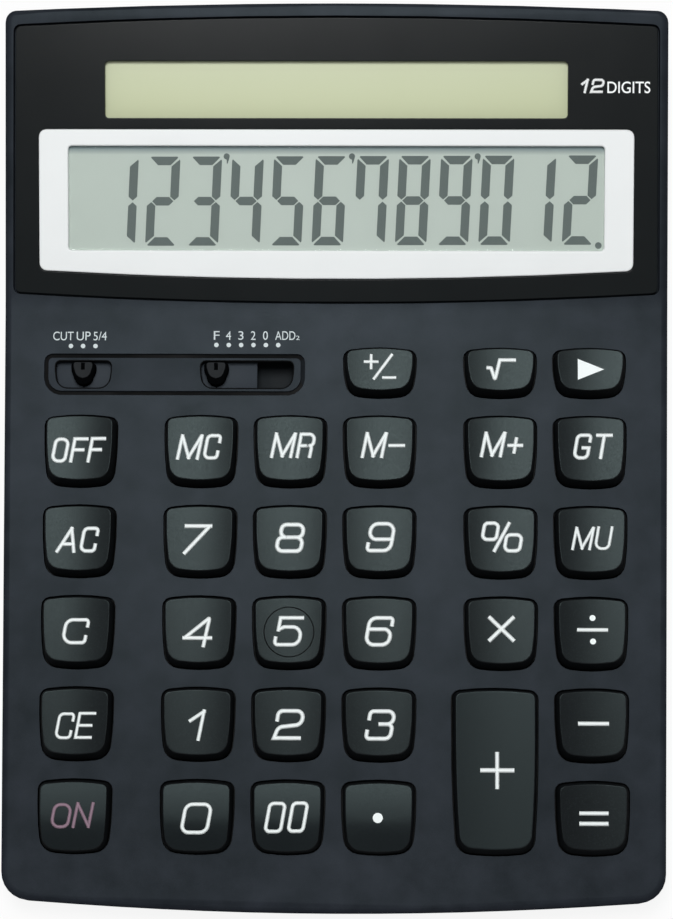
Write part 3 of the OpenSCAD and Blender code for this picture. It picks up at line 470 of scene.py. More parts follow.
# key caps: one shape for each kind, sizes in mm as in the part's source
capShape = dict(
    sizes=dict(square=(16.54, 16.6), rolled=(16.54, 16.6), half=(16.54, 11.7), tall=(19.34, 36.9)),
    gap=0.35, height=3.9, sideIn=1.0, rearIn=0.85, frontIn=1.5, rolledIn=0.825, smooth=40,
    rearR=2.0, frontR=3.6, leastRearR=0.4, leastFrontR=0.6, topRearR=1.3, topFrontR=3.0,
    taper=dict(square=0.5, rolled=0.5, half=0.5, tall=0.8), rearBow=0.45, frontBow=0.3,
    skirt=0.2, neck=-2.3, flange=-3.3, flangeW=0.9, stem=-4.3, stemD=4.6,
    dish=dict(square=0.34, rolled=0.06, half=0.28, tall=0.36), rollFrom=-0.5, rollDrop=1.85, rearDrop=0.0055,
    edge=0.2, lip=0.1, edgeTurns=(0, 18, 36, 54, 72, 90),
    dishRings=(0.988, 0.97, 0.9, 0.78, 0.64, 0.5, 0.36, 0.22, 0.08),
    satinFrom=0.5, satinUp=0.87,
)


def modelCap(kind):
    s = capShape
    width, length = s["sizes"][kind]
    rolled = kind == "rolled"
    bends = (s["taper"][kind], s["rearBow"], s["frontBow"])
    frontIn = s["rolledIn"] if rolled else s["frontIn"]
    shift = (frontIn - s["rearIn"]) / 2
    topW, topL = width - 2 * s["sideIn"], length - s["rearIn"] - frontIn

    def base(inset, z):
        rearR = max(s["rearR"] - inset, s["leastRearR"])
        frontR = max(s["frontR"] - inset, s["leastFrontR"])
        outline = shieldOutline(width - 2 * inset, length - 2 * inset, rearR, frontR, *bends)
        return [(x, y, z) for x, y in outline]

    def topHeight(x, y):  # dished across, and rolled over at the front on the front row
        height = s["height"] - s["dish"][kind] * (1 - min(1, (2 * x / topW) ** 2))
        if rolled:
            height -= s["rollDrop"] * (max(0, s["rollFrom"] - y) / (length / 2 + s["rollFrom"])) ** 2
            height -= s["rearDrop"] * max(0, y - s["rollFrom"]) ** 2
        return height

    def top(inset, drop):
        outline = shieldOutline(topW - 2 * inset, topL - 2 * inset, s["topRearR"], s["topFrontR"], *bends)
        return [(x, y + shift, topHeight(x, y + shift) - drop) for x, y in outline]

    flangeOut = s["gap"] - s["flangeW"]
    rings = [base(flangeOut, s["flange"]), base(flangeOut, s["neck"])]
    rings += [base(s["gap"], s["neck"]), base(s["gap"], s["skirt"])]
    if kind != "tall":  # round stem over the dome
        count = len(rings[0])
        stem = arcPoints(0, 0, s["stemD"] / 2, [360 * i / count - 90 for i in range(count)])
        rings = [[(x, y, z) for x, y in stem] for z in (s["stem"], s["flange"])] + rings
    for turn in s["edgeTurns"]:
        a = math.radians(turn)
        rings.append(top(s["edge"] * (1 - math.cos(a)) - s["lip"], s["edge"] * (1 - math.sin(a))))
    rim = top(s["edge"] - s["lip"], 0)
    middleY = sum(y for x, y, z in rim) / len(rim)
    for share in s["dishRings"]:
        spots = [(x * share, middleY + (y - middleY) * share) for x, y, z in rim]
        rings.append([(x, y, topHeight(x, y)) for x, y in spots])
    cap = loftPiece("cap_" + kind, rings)
    for face in cap.data.polygons:  # the top face and its rounded edge are satin; the skirt gets painted shade, a darker colour
        satin = face.normal.z > s["satinUp"] and face.center.z > s["satinFrom"] * mm
        face.material_index = 0 if satin else 1
    smoothBy(cap, s["smooth"])
    return cap


keyGrid = dict(
    columns=(-56.98, -29.99, -10.0, 10.0, 36.99, 56.98), rows=(-15.5, -33.4, -53.7, -74.0, -94.3, -114.6),
    tallShift=(-1.4, -10.15),
)
keyPlan = dict(  # column, row and kind
    key_sign=(3, 0, "half"), key_root=(4, 0, "half"), key_back=(5, 0, "half"),
    key_off=(0, 1, "square"), key_mc=(1, 1, "square"), key_mr=(2, 1, "square"),
    key_m_minus=(3, 1, "square"), key_m_plus=(4, 1, "square"), key_gt=(5, 1, "square"),
    key_ac=(0, 2, "square"), key_7=(1, 2, "square"), key_8=(2, 2, "square"),
    key_9=(3, 2, "square"), key_percent=(4, 2, "square"), key_mu=(5, 2, "square"),
    key_c=(0, 3, "square"), key_4=(1, 3, "square"), key_5=(2, 3, "square"),
    key_6=(3, 3, "square"), key_times=(4, 3, "square"), key_divide=(5, 3, "square"),
    key_ce=(0, 4, "square"), key_1=(1, 4, "square"), key_2=(2, 4, "square"),
    key_3=(3, 4, "square"), key_plus=(4, 4, "tall"), key_minus=(5, 4, "square"),
    key_on=(0, 5, "rolled"), key_0=(1, 5, "rolled"), key_00=(2, 5, "rolled"),
    key_point=(3, 5, "rolled"), key_equals=(5, 5, "square"),
)
capModels = {kind: modelCap(kind) for kind in capShape["sizes"]}


def keyPlace(key):
    column, row, kind = keyPlan[key]
    shiftX, shiftY = keyGrid["tallShift"] if kind == "tall" else (0, 0)
    x, y = keyGrid["columns"][column] + shiftX, keyGrid["rows"][row] + shiftY
    return onDeck @ Matrix.Translation((x * mm, y * mm, 0))


for key, (column, row, kind) in keyPlan.items():
    cap = copyPiece(capModels[kind], "cap" + key[3:])
    giveFinish(cap, broadTopSheenFinish if kind in ("tall", "rolled") else keyTopFinish, keyWallShadeFinish)
    setPlace(cap, keyPlace(key))
    carry(cap, key, "key_plastic", key)
print("key caps made")

# strokes of the lettering in a unit cell: points, radius of the bends as a share of the width, closed or not
strokeShapes = {
    "0": [([(0, 0), (1, 0), (1, 1), (0, 1)], (0.24, 0.32, 0.24, 0.32), True)],
    "1": [([(0.05, 0.66), (0.94, 0.98)], 0, False), ([(0.94, 1), (0.9, 0)], 0, False)],
    "2": [([(0, 0.68), (0, 1), (1, 1), (1, 0.5), (0.1, 0.4), (0, 0.0), (1, 0)],
           (0, 0.34, 0.34, 0.3, 0.3, 0, 0), False)],
    "3": [([(0, 0.74), (0, 1), (1, 1), (1, 0.53), (0.5, 0.53)], 0.27, False),
          ([(0.6, 0.53), (1, 0.53), (1, 0), (0, 0), (0, 0.26)], 0.27, False)],
    "4": [([(0.79, 0), (0.83, 1), (0.04, 0.29)], (0, 0.02, 0), False), ([(0, 0.27), (1, 0.27)], 0, False)],
    "5": [([(0.95, 1), (0.06, 1), (0.06, 0.56)], 0, False),
          ([(0.1, 0.58), (0.26, 0.66), (1, 0.66), (1, 0), (0, 0), (0, 0.24)],
           (0, 0.12, 0.34, 0.34, 0.3, 0), False)],
    "6": [([(1, 0.76), (1, 1), (0, 1), (0, 0), (1, 0), (1, 0.58), (0.02, 0.58)],
           (0, 0.3, 0.36, 0.3, 0.36, 0.26, 0), False)],
    "7": [([(0, 1), (1, 1)], 0, False), ([(0.95, 0.96), (0.14, 0)], 0, False)],
    "8": [([(0, 0), (1, 0), (1, 0.52), (0, 0.52)], 0.22, True),
          ([(0.06, 0.52), (0.96, 0.52), (0.96, 1), (0.06, 1)], 0.22, True)],
    "9": [([(0, 0.24), (0, 0), (1, 0), (1, 1), (0, 1), (0, 0.42), (0.98, 0.42)],
           (0, 0.3, 0.36, 0.3, 0.36, 0.26, 0), False)],
    "A": [([(0, 0), (0.62, 1)], 0, False), ([(0.62, 1), (1, 0)], 0, False),
          ([(0.24, 0.31), (0.86, 0.31)], 0, False)],
    "C": [([(1, 0.74), (1, 1), (0, 1), (0, 0), (1, 0), (1, 0.26)], (0, 0.34, 0.36, 0.34, 0.36, 0), False)],
    "E": [([(0.96, 1), (0, 1), (0, 0), (0.96, 0)], 0, False), ([(0.1, 0.5), (0.86, 0.5)], 0, False)],
    "F": [([(0.96, 1), (0, 1), (0, 0)], 0, False), ([(0.1, 0.5), (0.8, 0.5)], 0, False)],
    "G": [([(1, 0.76), (1, 1), (0, 1), (0, 0), (1, 0), (1, 0.44), (0.58, 0.44)],
           (0, 0.36, 0.38, 0.36, 0.38, 0, 0), False)],
    "M": [([(0, 0), (0.03, 1)], 0, False), ([(0.05, 0.98), (0.53, 0.03)], 0, False),
          ([(0.96, 0.98), (0.53, 0.03)], 0, False), ([(1, 1), (0.97, 0)], 0, False)],
    "N": [([(0, 0), (0.02, 1)], 0, False), ([(0.05, 0.97), (0.93, 0.03)], 0, False),
          ([(0.96, 0), (0.98, 1)], 0, False)],
    "O": [([(0, 0), (1, 0), (1, 1), (0, 1)], 0.4, True)],
    "R": [([(0, 0), (0, 1), (1, 1), (1, 0.48), (0.1, 0.48)], (0, 0, 0.34, 0.3, 0), False),
          ([(0.5, 0.48), (0.92, 0.48), (0.9, 0)], 0.2, False)],
    "T": [([(0, 1), (1, 1)], 0, False), ([(0.5, 0.9), (0.5, 0)], 0, False)],
    "U": [([(0, 1), (0, 0), (1, 0), (1, 1)], 0.42, False)],
    "o": [([(0, 0), (1, 0), (1, 1), (0, 1)], 0.3, True)],
    "+": [([(0, 0.5), (1, 0.5)], 0, False), ([(0.5, 0), (0.5, 1)], 0, False)],
    "x": [([(0.04, 0.04), (0.96, 0.96)], 0, False), ([(0.04, 0.96), (0.96, 0.04)], 0, False)],
    "/": [([(0, 0.02), (1, 0.98)], 0, False)],
    "root": [([(0, 0.62), (0.11, 0.62), (0.26, 0.04), (0.45, 1), (1, 1)], (0, 0.02, 0.02, 0, 0), False)],
}
uprightShapes = ("x", "/", "root")

# legends: shape, middle x and y on the key, outer width and height, all in mm
legendPlan = dict(
    key_off=[("O", -4.21, -0.28, 4.11, 5.8), ("F", -0.12, -0.18, 4.39, 5.8), ("F", 3.78, -0.14, 4.42, 5.85)],
    key_mc=[("M", -2.31, 0.52, 6.26, 5.81), ("C", 2.73, 0.58, 4.32, 5.9)],
    key_mr=[("M", -1.41, 0.97, 6.11, 5.83), ("R", 3.52, 0.98, 4.62, 5.83)],
    key_m_minus=[("M", -1.17, 1.08, 6.18, 5.94), ("bar", 3.79, 0.98, 3.72, 0.82)],
    key_m_plus=[("M", -1.7, 1.28, 6.08, 5.84), ("+", 3.18, 1.07, 3.57, 3.76)],
    key_gt=[("G", -1.81, 0.86, 4.4, 5.96), ("T", 3.03, 0.93, 3.78, 5.8)],
    key_ac=[("A", -2.68, -0.07, 4.53, 5.86), ("C", 2.62, -0.02, 4.52, 5.92)],
    key_7=[("7", -0.34, 0.14, 6.54, 6.88)],
    key_8=[("8", 0.2, 0.52, 6.78, 6.89)],
    key_9=[("9", 0.25, 0.75, 6.72, 6.94)],
    key_percent=[("o", -2.37, 2.13, 4.3, 4.54), ("/", 0.12, 0.87, 4.06, 7.07),
                 ("o", 2.62, -0.42, 4.51, 4.47)],
    key_mu=[("M", -1.86, 0.63, 5.39, 5.28), ("U", 2.76, 0.69, 4.26, 5.37)],
    key_c=[("C", -0.03, -0.07, 6.21, 5.9)],
    key_4=[("4", -0.18, -0.05, 6.67, 6.98)],
    key_5=[("5", 0.0, 0.1, 6.91, 6.83)],
    key_6=[("6", 0.12, 0.15, 6.69, 6.88)],
    key_times=[("x", -0.01, 0.8, 5.95, 6.18)],
    key_divide=[("bar", 0.05, 0.65, 6.83, 0.88), ("dot", 0.07, 3.3, 1.32, 1.32),
                ("dot", 0.14, -1.89, 1.32, 1.32)],
    key_ce=[("C", -2.08, -0.6, 4.45, 5.97), ("E", 2.33, -0.5, 4.92, 6.0)],
    key_1=[("1", 0.03, -0.31, 3.8, 6.98)],
    key_2=[("2", 0.09, -0.11, 7.25, 6.9)],
    key_3=[("3", 0.26, -0.13, 6.97, 6.95)],
    key_minus=[("bar", 0.11, 0.35, 6.79, 0.96)],
    key_plus=[("bar", 0.37, 0.23, 7.48, 1.02), ("post", 0.35, 0.21, 0.94, 8.08)],
    key_equals=[("bar", 0.05, 1.13, 6.37, 0.93), ("bar", 0.03, -1.12, 6.37, 0.96)],
    key_on=[("O", -2.55, 0.07, 4.68, 5.58), ("N", 2.25, 0.24, 5.05, 5.7)],
    key_0=[("0", 0.08, -0.37, 7.01, 6.98)],
    key_00=[("0", -2.63, -0.09, 4.96, 6.94), ("0", 2.34, 0.01, 4.82, 6.94)],
    key_point=[("dot", -0.19, -0.08, 2.2, 2.2)],
    key_sign=[("bar", -1.96, 1.99, 3.29, 0.7), ("post", -1.96, 1.99, 0.7, 3.44),
              ("/", 0.68, 0.86, 4.61, 6.2), ("bar", 2.07, -1.6, 3.15, 0.7)],
    key_root=[("root", 0.1, 0.1, 6.67, 5.55)],
    key_back=[("wedge", 0.14, 0.37, 5.87, 4.72)],
)
penWidths = dict(  # where a key's pen differs from the usual one
    key_sign=0.75, key_root=0.9, key_times=0.98, key_percent=0.9, key_ce=0.72, key_mu=0.72,
    key_on=0.76, key_c=0.84, key_0=0.86, key_00=0.85, key_1=0.84, key_4=0.9, key_5=0.9, key_8=1.0,
)
legendStyle = dict(letter=0.88, numeral=0.95, slant=10.0, lift=0.012, flat=0.03, fill=0.008, dropFrom=20)
strokeRules = dict(bendSteps=6, bendReach=0.499, step=0.9, tries=24, narrowest=0.1, broadest=2, end=0.45)


def roundBends(points, radii, closed):  # swaps each bend for a short arc
    points = [Vector(p) for p in points]
    count = len(points)
    steps, share = strokeRules["bendSteps"], strokeRules["bendReach"]
    rounded = []
    for i, here in enumerate(points):
        radius = radii[i]
        if radius <= 0 or (not closed and i in (0, count - 1)):
            rounded.append(here)
            continue
        back, ahead = points[i - 1] - here, points[(i + 1) % count] - here
        angle = back.angle(ahead)
        reach = min(radius / math.tan(angle / 2), back.length * share, ahead.length * share)
        radius = reach * math.tan(angle / 2)
        start, end = here + back.normalized() * reach, here + ahead.normalized() * reach
        centre = here + (back.normalized() + ahead.normalized()).normalized() * (radius / math.sin(angle / 2))
        first, last = start - centre, end - centre
        for step in range(steps + 1):
            spoke = first.lerp(last, step / steps)
            rounded.append(centre + spoke.normalized() * radius)
    return rounded


def resample(points, closed):  # adds points so that a stroke can follow a curved top
    spaced = []
    ends = points[1:] + points[:1] if closed else points[1:]
    for a, b in zip(points, ends):
        parts = max(1, math.ceil((b - a).length / strokeRules["step"]))
        spaced += [a.lerp(b, i / parts) for i in range(parts)]
    return spaced if closed else spaced + [points[-1]]


# the cell is stretched until the leaning strokes fill their box
def strokePaths(shape, x, y, width, height, pen, slant):
    lean = 0 if shape in uprightShapes else math.tan(math.radians(slant))
    tall = height - pen
    narrow, broad = strokeRules["narrowest"] * width, strokeRules["broadest"] * width
    for attempt in range(strokeRules["tries"]):
        wide = (narrow + broad) / 2
        paths = []
        for points, radii, closed in strokeShapes[shape]:
            spots = [(px * wide + py * tall * lean, py * tall) for px, py in points]
            radii = [r * wide for r in (radii if isinstance(radii, tuple) else [radii] * len(points))]
            paths.append((roundBends(spots, radii, closed), closed))
        across = [point.x for path, closed in paths for point in path]
        narrow, broad = (narrow, wide) if max(across) - min(across) > width - pen else (wide, broad)
    shift = Vector((x - (max(across) + min(across)) / 2, y - tall / 2))
    laid = []
    for path, closed in paths:
        path = [point + shift for point in path]
        if not closed:  # square ends
            path[0] = path[0] + (path[0] - path[1]).normalized() * pen * strokeRules["end"]
            path[-1] = path[-1] + (path[-1] - path[-2]).normalized() * pen * strokeRules["end"]
        laid.append((resample(path, closed), closed))
    return laid


def curveMesh(name, paths, pen=None, thick=0.0):  # flat curve, drawn with a pen or filled, made a mesh
    curve = bpy.data.curves.new(name, "CURVE")
    curve.dimensions = "2D"
    curve.fill_mode = "NONE" if pen else "BOTH"
    if pen:
        curve.bevel_depth = pen / 2 * mm
        curve.bevel_resolution = 0
        curve.use_fill_caps = True
    else:
        curve.extrude = thick * mm
    for points, closed in paths:
        spline = curve.splines.new("POLY")
        spline.points.add(len(points) - 1)
        for spot, point in zip(spline.points, points):
            spot.co = (point[0] * mm, point[1] * mm, 0, 1)
        spline.use_cyclic_u = closed
    makeActive(newPiece(name, curve))
    bpy.ops.object.convert(target="MESH")
    piece = bpy.context.object
    if pen:  # the round pen is pressed flat
        bpy.ops.object.mode_set(mode="EDIT")
        bpy.ops.mesh.select_all(action="SELECT")
        bpy.ops.transform.resize(value=(1, 1, legendStyle["flat"]))
        bpy.ops.object.mode_set(mode="OBJECT")
    return piece


def filledMesh(name, outlines, thick):
    return curveMesh(name, [(points, True) for points in outlines], thick=thick)


def straightMesh(name, start, end, pen):
    return curveMesh(name, [(resample([Vector(start), Vector(end)], False), False)], pen)


def markPieces(name, marks, pen=0.0, slant=0.0):  # bars and posts have a thickness of their own
    parts, fills = [], []
    for shape, x, y, width, height in marks:
        left, right = x - width / 2, x + width / 2
        low, high = y - height / 2, y + height / 2
        if shape == "dot":
            fills.append(disc(x, y, width / 2))
        elif shape == "wedge":
            fills.append([(left, low), (right, y), (left, high)])
        elif shape == "bar":
            parts.append(straightMesh(name, (left, y), (right, y), height))
        elif shape == "post":
            parts.append(straightMesh(name, (x, low), (x, high), width))
        else:
            parts.append(curveMesh(name, strokePaths(shape, x, y, width, height, pen, slant), pen))
    if fills:
        parts.append(filledMesh(name, fills, legendStyle["fill"]))
    return joinPieces(name, parts)


def layOn(piece, target, lift):  # drops each point on to the surface under it
    for vert in piece.data.vertices:
        above = Vector((vert.co.x, vert.co.y, legendStyle["dropFrom"] * mm))
        hit, spot = target.ray_cast(above, Vector((0, 0, -1)))[:2]
        vert.co.z += (spot.z if hit else 0) + lift * mm


for key, marks in legendPlan.items():
    numeral = key[4:].isdigit()
    pen = penWidths.get(key, legendStyle["numeral"] if numeral else legendStyle["letter"])
    legend = markPieces("legend" + key[3:], marks, pen, legendStyle["slant"])
    layOn(legend, capModels[keyPlan[key][2]], legendStyle["lift"])
    giveFinish(legend, roseFinish if key == "key_on" else markFinish)
    setPlace(legend, keyPlace(key))
    carry(legend, key, "key_plastic")

ringShape = dict(x=0.08, y=-0.04, radius=5.5, sides=72, pen=0.24, lift=0.004)  # locating ring round the five
ringSpots = disc(ringShape["x"], ringShape["y"], ringShape["radius"], ringShape["sides"])
locatingRing = curveMesh("locatingRing", [(ringSpots, True)], ringShape["pen"])
layOn(locatingRing, capModels["square"], ringShape["lift"])
giveFinish(locatingRing, holeFinish)
setPlace(locatingRing, keyPlace("key_5"))
carry(locatingRing, "key_5", "key_plastic")
for model in capModels.values():
    bpy.data.objects.remove(model)
print("legends laid")

# slide switches: plate under the deck and a shield knob standing in its slot, in mm
slideShape = dict(
    trayY=-15.9, rounding=-56.8, decimal=-26.85,
    plateL=18.4, plateW=8.2, plateTop=-2.3, plateT=1.0, plateEdge=0.2,
    footFace=-0.5, footIn=1.6, footDrop=3.4, footShare=(0.4, 0.96, 1), smooth=35,
)
knobShape = dict(
    levels=(  # width, length, middle y, height, rear radius, front radius, taper
        (5.55, 5.3, 0, -2.5, 0.7, 2.1, 0.6), (5.55, 5.3, 0, -0.5, 0.7, 2.1, 0.6),
        (5.4, 5.15, 0.05, 0.1, 0.65, 2.0, 0.55), (4.8, 4.6, 0.35, 0.54, 0.6, 1.8, 0.5),
        (4.22, 3.82, 0.7, 0.873, 0.55, 1.8, 0.3), (4.0, 3.6, 0.7, 0.9, 0.5, 1.7, 0.3),
    ),
    bow=0.3, top=0.9, topY=0.7, dish=((0.8, 0.03), (0.55, 0.06), (0.25, 0.08)), satinFrom=0.8, satinUp=0.85,
    mark=("post", 0, 1.7, 0.85, 1.6), markLift=0.008,
)


def slideMiddle(name):
    return onDeck @ Matrix.Translation((slideShape[name] * mm, slideShape["trayY"] * mm, 0))


def makePlate(name):
    s = slideShape
    deselectAll()
    bpy.ops.mesh.primitive_cube_add(
        size=1, location=(0, 0, (s["plateTop"] - s["plateT"] / 2) * mm),
        scale=(s["plateL"] * mm, s["plateW"] * mm, s["plateT"] * mm))
    plate = bpy.context.object
    plate.name = name + "Plate"
    bpy.ops.object.transform_apply(location=True, rotation=True, scale=True)
    bpy.ops.object.mode_set(mode="EDIT")
    selectFaces(plate, lambda face: face.normal.z < s["footFace"])  # the foot grows from the underside
    bpy.ops.mesh.inset(thickness=s["footIn"] * mm)
    bpy.ops.mesh.extrude_region_move(TRANSFORM_OT_translate={"value": (0, 0, -s["footDrop"] * mm)})
    bpy.ops.transform.resize(value=s["footShare"])
    bpy.ops.object.mode_set(mode="OBJECT")
    useModifier(plate, "BEVEL", width=s["plateEdge"] * mm, segments=2)
    smoothBy(plate, s["smooth"])
    giveFinish(plate, plateFinish)
    setPlace(plate, slideMiddle(name))
    carry(plate, name + "_switch", "slide_plastic", name + "_slide")


def makeKnob(name):
    s = knobShape
    rings = []
    for width, length, y, z, rearR, frontR, taper in s["levels"]:
        outline = shieldOutline(width, length, rearR, frontR, taper, 0, s["bow"])
        rings.append([(px, py + y, z) for px, py in outline])
    rim = rings[-1]
    for share, sink in s["dish"]:
        rings.append([(x * share, s["topY"] + (y - s["topY"]) * share, s["top"] - sink) for x, y, z in rim])
    knob = loftPiece(name + "Knob", rings)
    # the top is satin grey, the walls get painted shade
    for face in knob.data.polygons:
        satin = face.normal.z > s["satinUp"] and face.center.z > s["satinFrom"] * mm
        face.material_index = 0 if satin else 1
    smoothBy(knob, slideShape["smooth"])
    mark = markPieces(name + "Mark", [s["mark"]])
    layOn(mark, knob, s["markLift"])
    giveFinish(mark, knobWallShadeFinish)
    giveFinish(knob, knobTopFinish, knobWallShadeFinish)
    for piece in (knob, mark):
        setPlace(piece, slideMiddle(name))
        carry(piece, name + "_switch", "slide_plastic")


for name in ("rounding", "decimal"):
    makePlate(name)
    makeKnob(name)

# painted shade: a thin dark ring laid round the edge of each slot; middle x and width, in mm
slotShape = dict(
    rounding=(-56.8, 12.46), decimal=(-19.9, 20.8), length=6.1, rearR=1.2, frontR=2.7, taper=0.2,
    out=0.1, pen=0.28, level=-0.094,
)
slotShadeRings = []
for name in ("rounding", "decimal"):
    middle, width = slotShape[name]
    outer = (width + 2 * slotShape["out"], slotShape["length"] + 2 * slotShape["out"])
    outline = shieldOutline(*outer, slotShape["rearR"], slotShape["frontR"], slotShape["taper"], 0, 0)
    slotShadeRings.append(([(x + middle, y + slideShape["trayY"]) for x, y in outline], True))
slotShadeRing = curveMesh("slotShadeRing", slotShadeRings, slotShape["pen"])
setPlace(slotShadeRing, onDeck @ Matrix.Translation((0, 0, slotShape["level"] * mm)))
giveFinish(slotShadeRing, holeFinish)
carry(slotShadeRing, "case", "case_plastic")
print("slide switches made")

# printing on the deck: dots over the switch places, with small plain letters from one x to another, in mm
scaleShape = dict(
    dotR=0.51, dotThick=0.006, lift=0.008, letterH=1.98,
    roundingX=(-59.69, -56.94, -54.14), roundingY=-9.45, decimalX=-26.86, decimalStep=2.788, decimalY=-9.14,
    roundingWordsY=-7.16,
    roundingWords=(("CUT", -63.72, -59.12), ("UP", -58.42, -55.27), ("5/4", -54.62, -51.62)),
    decimalWordsY=-6.96,
    decimalWords=(
        ("F", -27.47, -26.17), ("4", -24.72, -23.57), ("3", -21.92, -20.77),
        ("2", -19.12, -18.02), ("0", -16.37, -15.27), ("ADD", -13.62, -9.07),
    ),
    small=("2", -8.92, -8.12), smallY=-7.46, smallH=0.95,
)
dots = [disc(x, scaleShape["roundingY"], scaleShape["dotR"]) for x in scaleShape["roundingX"]]
for i in range(len(scaleShape["decimalWords"])):
    dotX = scaleShape["decimalX"] + scaleShape["decimalStep"] * i
    dots.append(disc(dotX, scaleShape["decimalY"], scaleShape["dotR"]))
scaleDots = filledMesh("scaleDots", dots, scaleShape["dotThick"])
setPlace(scaleDots, onDeck @ Matrix.Translation((0, 0, scaleShape["lift"] * mm)))
giveFinish(scaleDots, scaleFinish)
carry(scaleDots, "case", "case_plastic")

wordStyle = dict(size=10, thick=0.006)  # size before a word is fitted to its place


def plainWord(name, word, left, right, y, height, slope, lift, finish=scaleFinish, bold=0.0):
    deselectAll()
    bpy.ops.object.text_add(location=(0, 0, 0))
    text = bpy.context.object
    text.name = name
    text.data.body = word
    text.data.size = wordStyle["size"] * mm
    text.data.extrude = wordStyle["thick"] * mm
    text.data.offset = bold * mm
    bpy.ops.object.convert(target="MESH")
    piece = bpy.context.object
    across = [vert.co.x for vert in piece.data.vertices]
    upwards = [vert.co.y for vert in piece.data.vertices]
    wide = (right - left) * mm / (max(across) - min(across))
    tall = height * mm / (max(upwards) - min(upwards))
    corner = Matrix.Translation((left * mm, (y - height / 2) * mm, lift * mm))
    fitted = Matrix.Diagonal((wide, tall, 1, 1)) @ Matrix.Translation((-min(across), -min(upwards), 0))
    setPlace(piece, slope @ corner @ fitted)
    giveFinish(piece, finish)
    carry(piece, "case", "case_plastic")


scaleWords = [(*word, scaleShape["roundingWordsY"]) for word in scaleShape["roundingWords"]]
scaleWords += [(*word, scaleShape["decimalWordsY"]) for word in scaleShape["decimalWords"]]
for i, (word, left, right, y) in enumerate(scaleWords):
    plainWord("scaleWord_" + str(i), word, left, right, y, scaleShape["letterH"], onDeck, scaleShape["lift"])
plainWord("scaleWord_small", *scaleShape["small"], scaleShape["smallY"], scaleShape["smallH"], onDeck,
          scaleShape["lift"])
print("scales printed")

# display: twelve leaning digits under the window, in mm on the head
digitShape = dict(
    reading="123456789012", width=7.12, height=20.06, bar=1.93, slit=0.2, nip=0.46, lean=2.75, thick=0.004,
    first=-52.62, pitch=9.414, foot=13.52, rise=0.004, level=-1.79, point=(59.19, 13.55, 0.76),
    commas=(-24.7, 3.57, 31.88), commaY=33.5, commaR=0.7, commaTurns=range(0, 270, 15), commaRise=0.0012,
    commaTail=((-0.02, -0.735), (0.02, -1.61), (0.22, -1.61), (0.55, -0.63)),
)
litBars = {
    "0": "abcdef", "1": "bc", "2": "abdeg", "3": "abcdg", "4": "bcfg",
    "5": "acdfg", "6": "acdefg", "7": "abcf", "8": "abcdefg", "9": "abcdfg",
}


def digitBars():  # bars of an upright digit: a at the top, on round to f, and g across the middle
    w, h, t, s, n = (digitShape[key] for key in ("width", "height", "bar", "slit", "nip"))
    m = h / 2
    top = [(n * 0.6 + s, h - n * 0.5), (n + s, h), (w - n - s, h),
           (w - n * 0.6 - s, h - n * 0.5), (w - t - s, h - t), (t + s, h - t)]
    right = [(w - n * 0.35, h - n - s), (w, h - n * 1.6 - s), (w, m + t / 2 + s * 0.4),
             (w - t / 2, m + s), (w - t, m + t / 2 + s * 0.4), (w - t, h - t - s * 1.4)]
    middle = [(t / 2 + s, m), (t + s, m + t / 2), (w - t - s, m + t / 2),
              (w - t / 2 - s, m), (w - t - s, m - t / 2), (t + s, m - t / 2)]
    return dict(
        a=top, b=right, c=[(x, h - y) for x, y in right], d=[(x, h - y) for x, y in top],
        e=[(w - x, h - y) for x, y in right], f=[(w - x, y) for x, y in right], g=middle,
    )


bars = digitBars()
lean = math.tan(math.radians(digitShape["lean"]))
outlines = []
for i, figure in enumerate(digitShape["reading"]):
    left = digitShape["first"] + digitShape["pitch"] * i
    foot = digitShape["foot"] + left * digitShape["rise"]
    outlines += [[(left + x + y * lean, foot + y) for x, y in bars[bar]] for bar in litBars[figure]]
for x in digitShape["commas"]:  # a dot with a tail that hangs from its right side
    y = digitShape["commaY"] + x * digitShape["commaRise"]
    tail = [(x + tailX, y + tailY) for tailX, tailY in digitShape["commaTail"]]
    outlines.append(arcPoints(x, y, digitShape["commaR"], digitShape["commaTurns"]) + tail)
outlines.append(disc(*digitShape["point"]))
digits = filledMesh("displayDigits", outlines, digitShape["thick"])
setPlace(digits, onHead @ Matrix.Translation((0, 0, digitShape["level"] * mm)))
giveFinish(digits, segmentFinish)
carry(digits, "case", "display_glass")

# count of digits beside the solar cell, plain lettering
countShape = dict(
    marks=(("1", 55.8, 49.22, 1.8, 3.3), ("2", 58.55, 49.22, 3.4, 3.3)), pen=0.64, slant=12, level=-0.19,
    word=("DIGITS", 60.8, 70.42), wordY=48.9, wordH=2.62, bold=0.07,
)
countNumber = markPieces("countNumber", countShape["marks"], countShape["pen"], countShape["slant"])
setPlace(countNumber, onHead @ Matrix.Translation((0, 0, countShape["level"] * mm)))
giveFinish(countNumber, countFinish)
carry(countNumber, "case", "panel_gloss")
plainWord("countWord", *countShape["word"], countShape["wordY"], countShape["wordH"], onHead,
          countShape["level"], countFinish, countShape["bold"])
print("display lit")

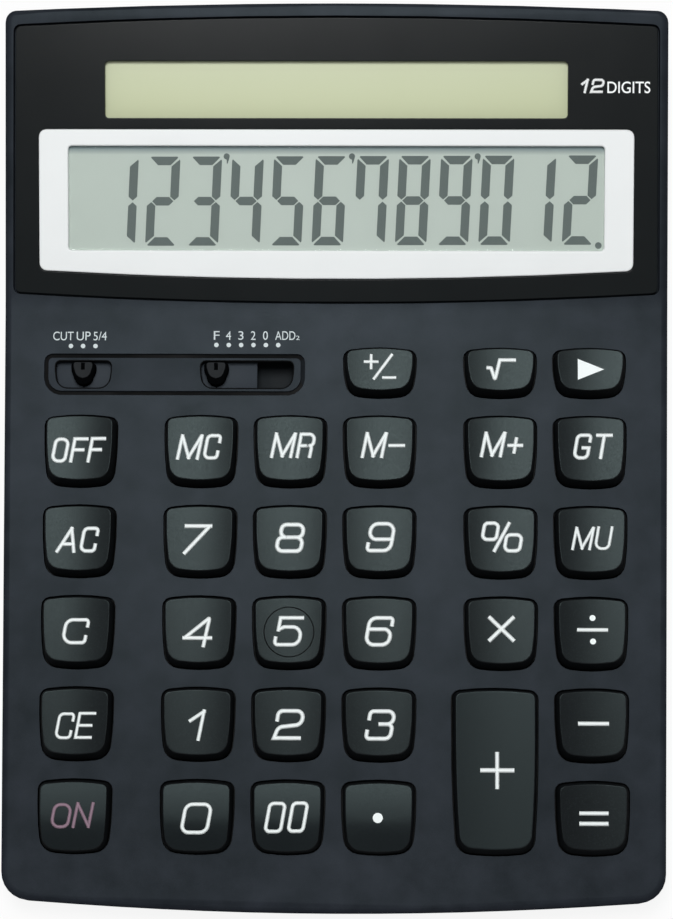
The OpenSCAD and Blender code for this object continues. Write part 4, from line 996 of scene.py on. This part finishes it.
# floor, light and camera, in m
studio = dict(
    floorSize=60, floor=0.95, floorGrain=0.02, grainScale=40, lift=0.88,
    horizon=(0.05, 0.5), overhead=(0.2619, 0.2673, 0.27),
    softbox=6.1, softboxSize=0.32, softboxAt=(-0.03, 0.14, 0.98), softboxTo=(0, 0.02, 0),
)
deselectAll()
bpy.ops.mesh.primitive_plane_add(size=studio["floorSize"], location=(0, 0, 0))
floor = bpy.context.object
floor.name = "studioFloor"
floorFinish = Finish("floorPale")
grain = floorFinish.noise(floorFinish.place(), studio["grainScale"], detail=3)
greys = [(shade, shade, shade, 1) for shade in (studio["floor"], studio["floor"] + studio["floorGrain"])]
paper = floorFinish.blend(grain, *greys)
matte = floorFinish.surface(Base_Color=paper, Roughness=0.9, Specular_IOR_Level=0.1)
white = floorFinish.add("ShaderNodeEmission", {"Color": (1, 1, 1, 1), "Strength": 1.0})
seenRays = ("Is Camera Ray", "Is Glossy Ray", "Is Transmission Ray")
direct, mirrored, through = (floorFinish.add("ShaderNodeLightPath", out=ray) for ray in seenRays)
floorFinish.done(floorFinish.mix((direct + mirrored + through) * studio["lift"], matte, white))
giveFinish(floor, floorFinish)

world = Finish("studioWorld", bpy.data.worlds)  # white along the horizon, grey overhead
rise = world.remap(world.axis(world.place("Generated"), "Z"), *studio["horizon"])
sky = world.blend(rise, (1, 1, 1, 1), (*studio["overhead"], 1))
world.done(world.add("ShaderNodeBackground", {"Color": sky}), "ShaderNodeOutputWorld")
bpy.context.scene.world = world.material

light = bpy.data.lights.new("softboxOver", "AREA")
light.shape = "SQUARE"
light.size = studio["softboxSize"]
light.energy = studio["softbox"]
softbox = newPiece("softboxOver", light)
aim = (Vector(studio["softboxTo"]) - Vector(studio["softboxAt"])).to_track_quat("-Z", "Y")
softbox.matrix_world = Matrix.Translation(studio["softboxAt"]) @ aim.to_matrix().to_4x4()

# the photo's view, in mm and degrees
viewShape = dict(place=(10.01, -114.2, 622.53), turn=(10.665, 0.855, 0.326), lens=107.65, sensor=36, near=10)
camera = newPiece("photoCamera", bpy.data.cameras.new("photoCamera"))
camera.data.lens = viewShape["lens"]
camera.data.sensor_width = viewShape["sensor"]
camera.data.clip_start = viewShape["near"] * mm
camera.location = Vector(viewShape["place"]) * mm
camera.rotation_euler = [math.radians(angle) for angle in viewShape["turn"]]
bpy.context.scene.camera = camera
bpy.context.scene.view_settings.view_transform = "Standard"

print("scene ready")
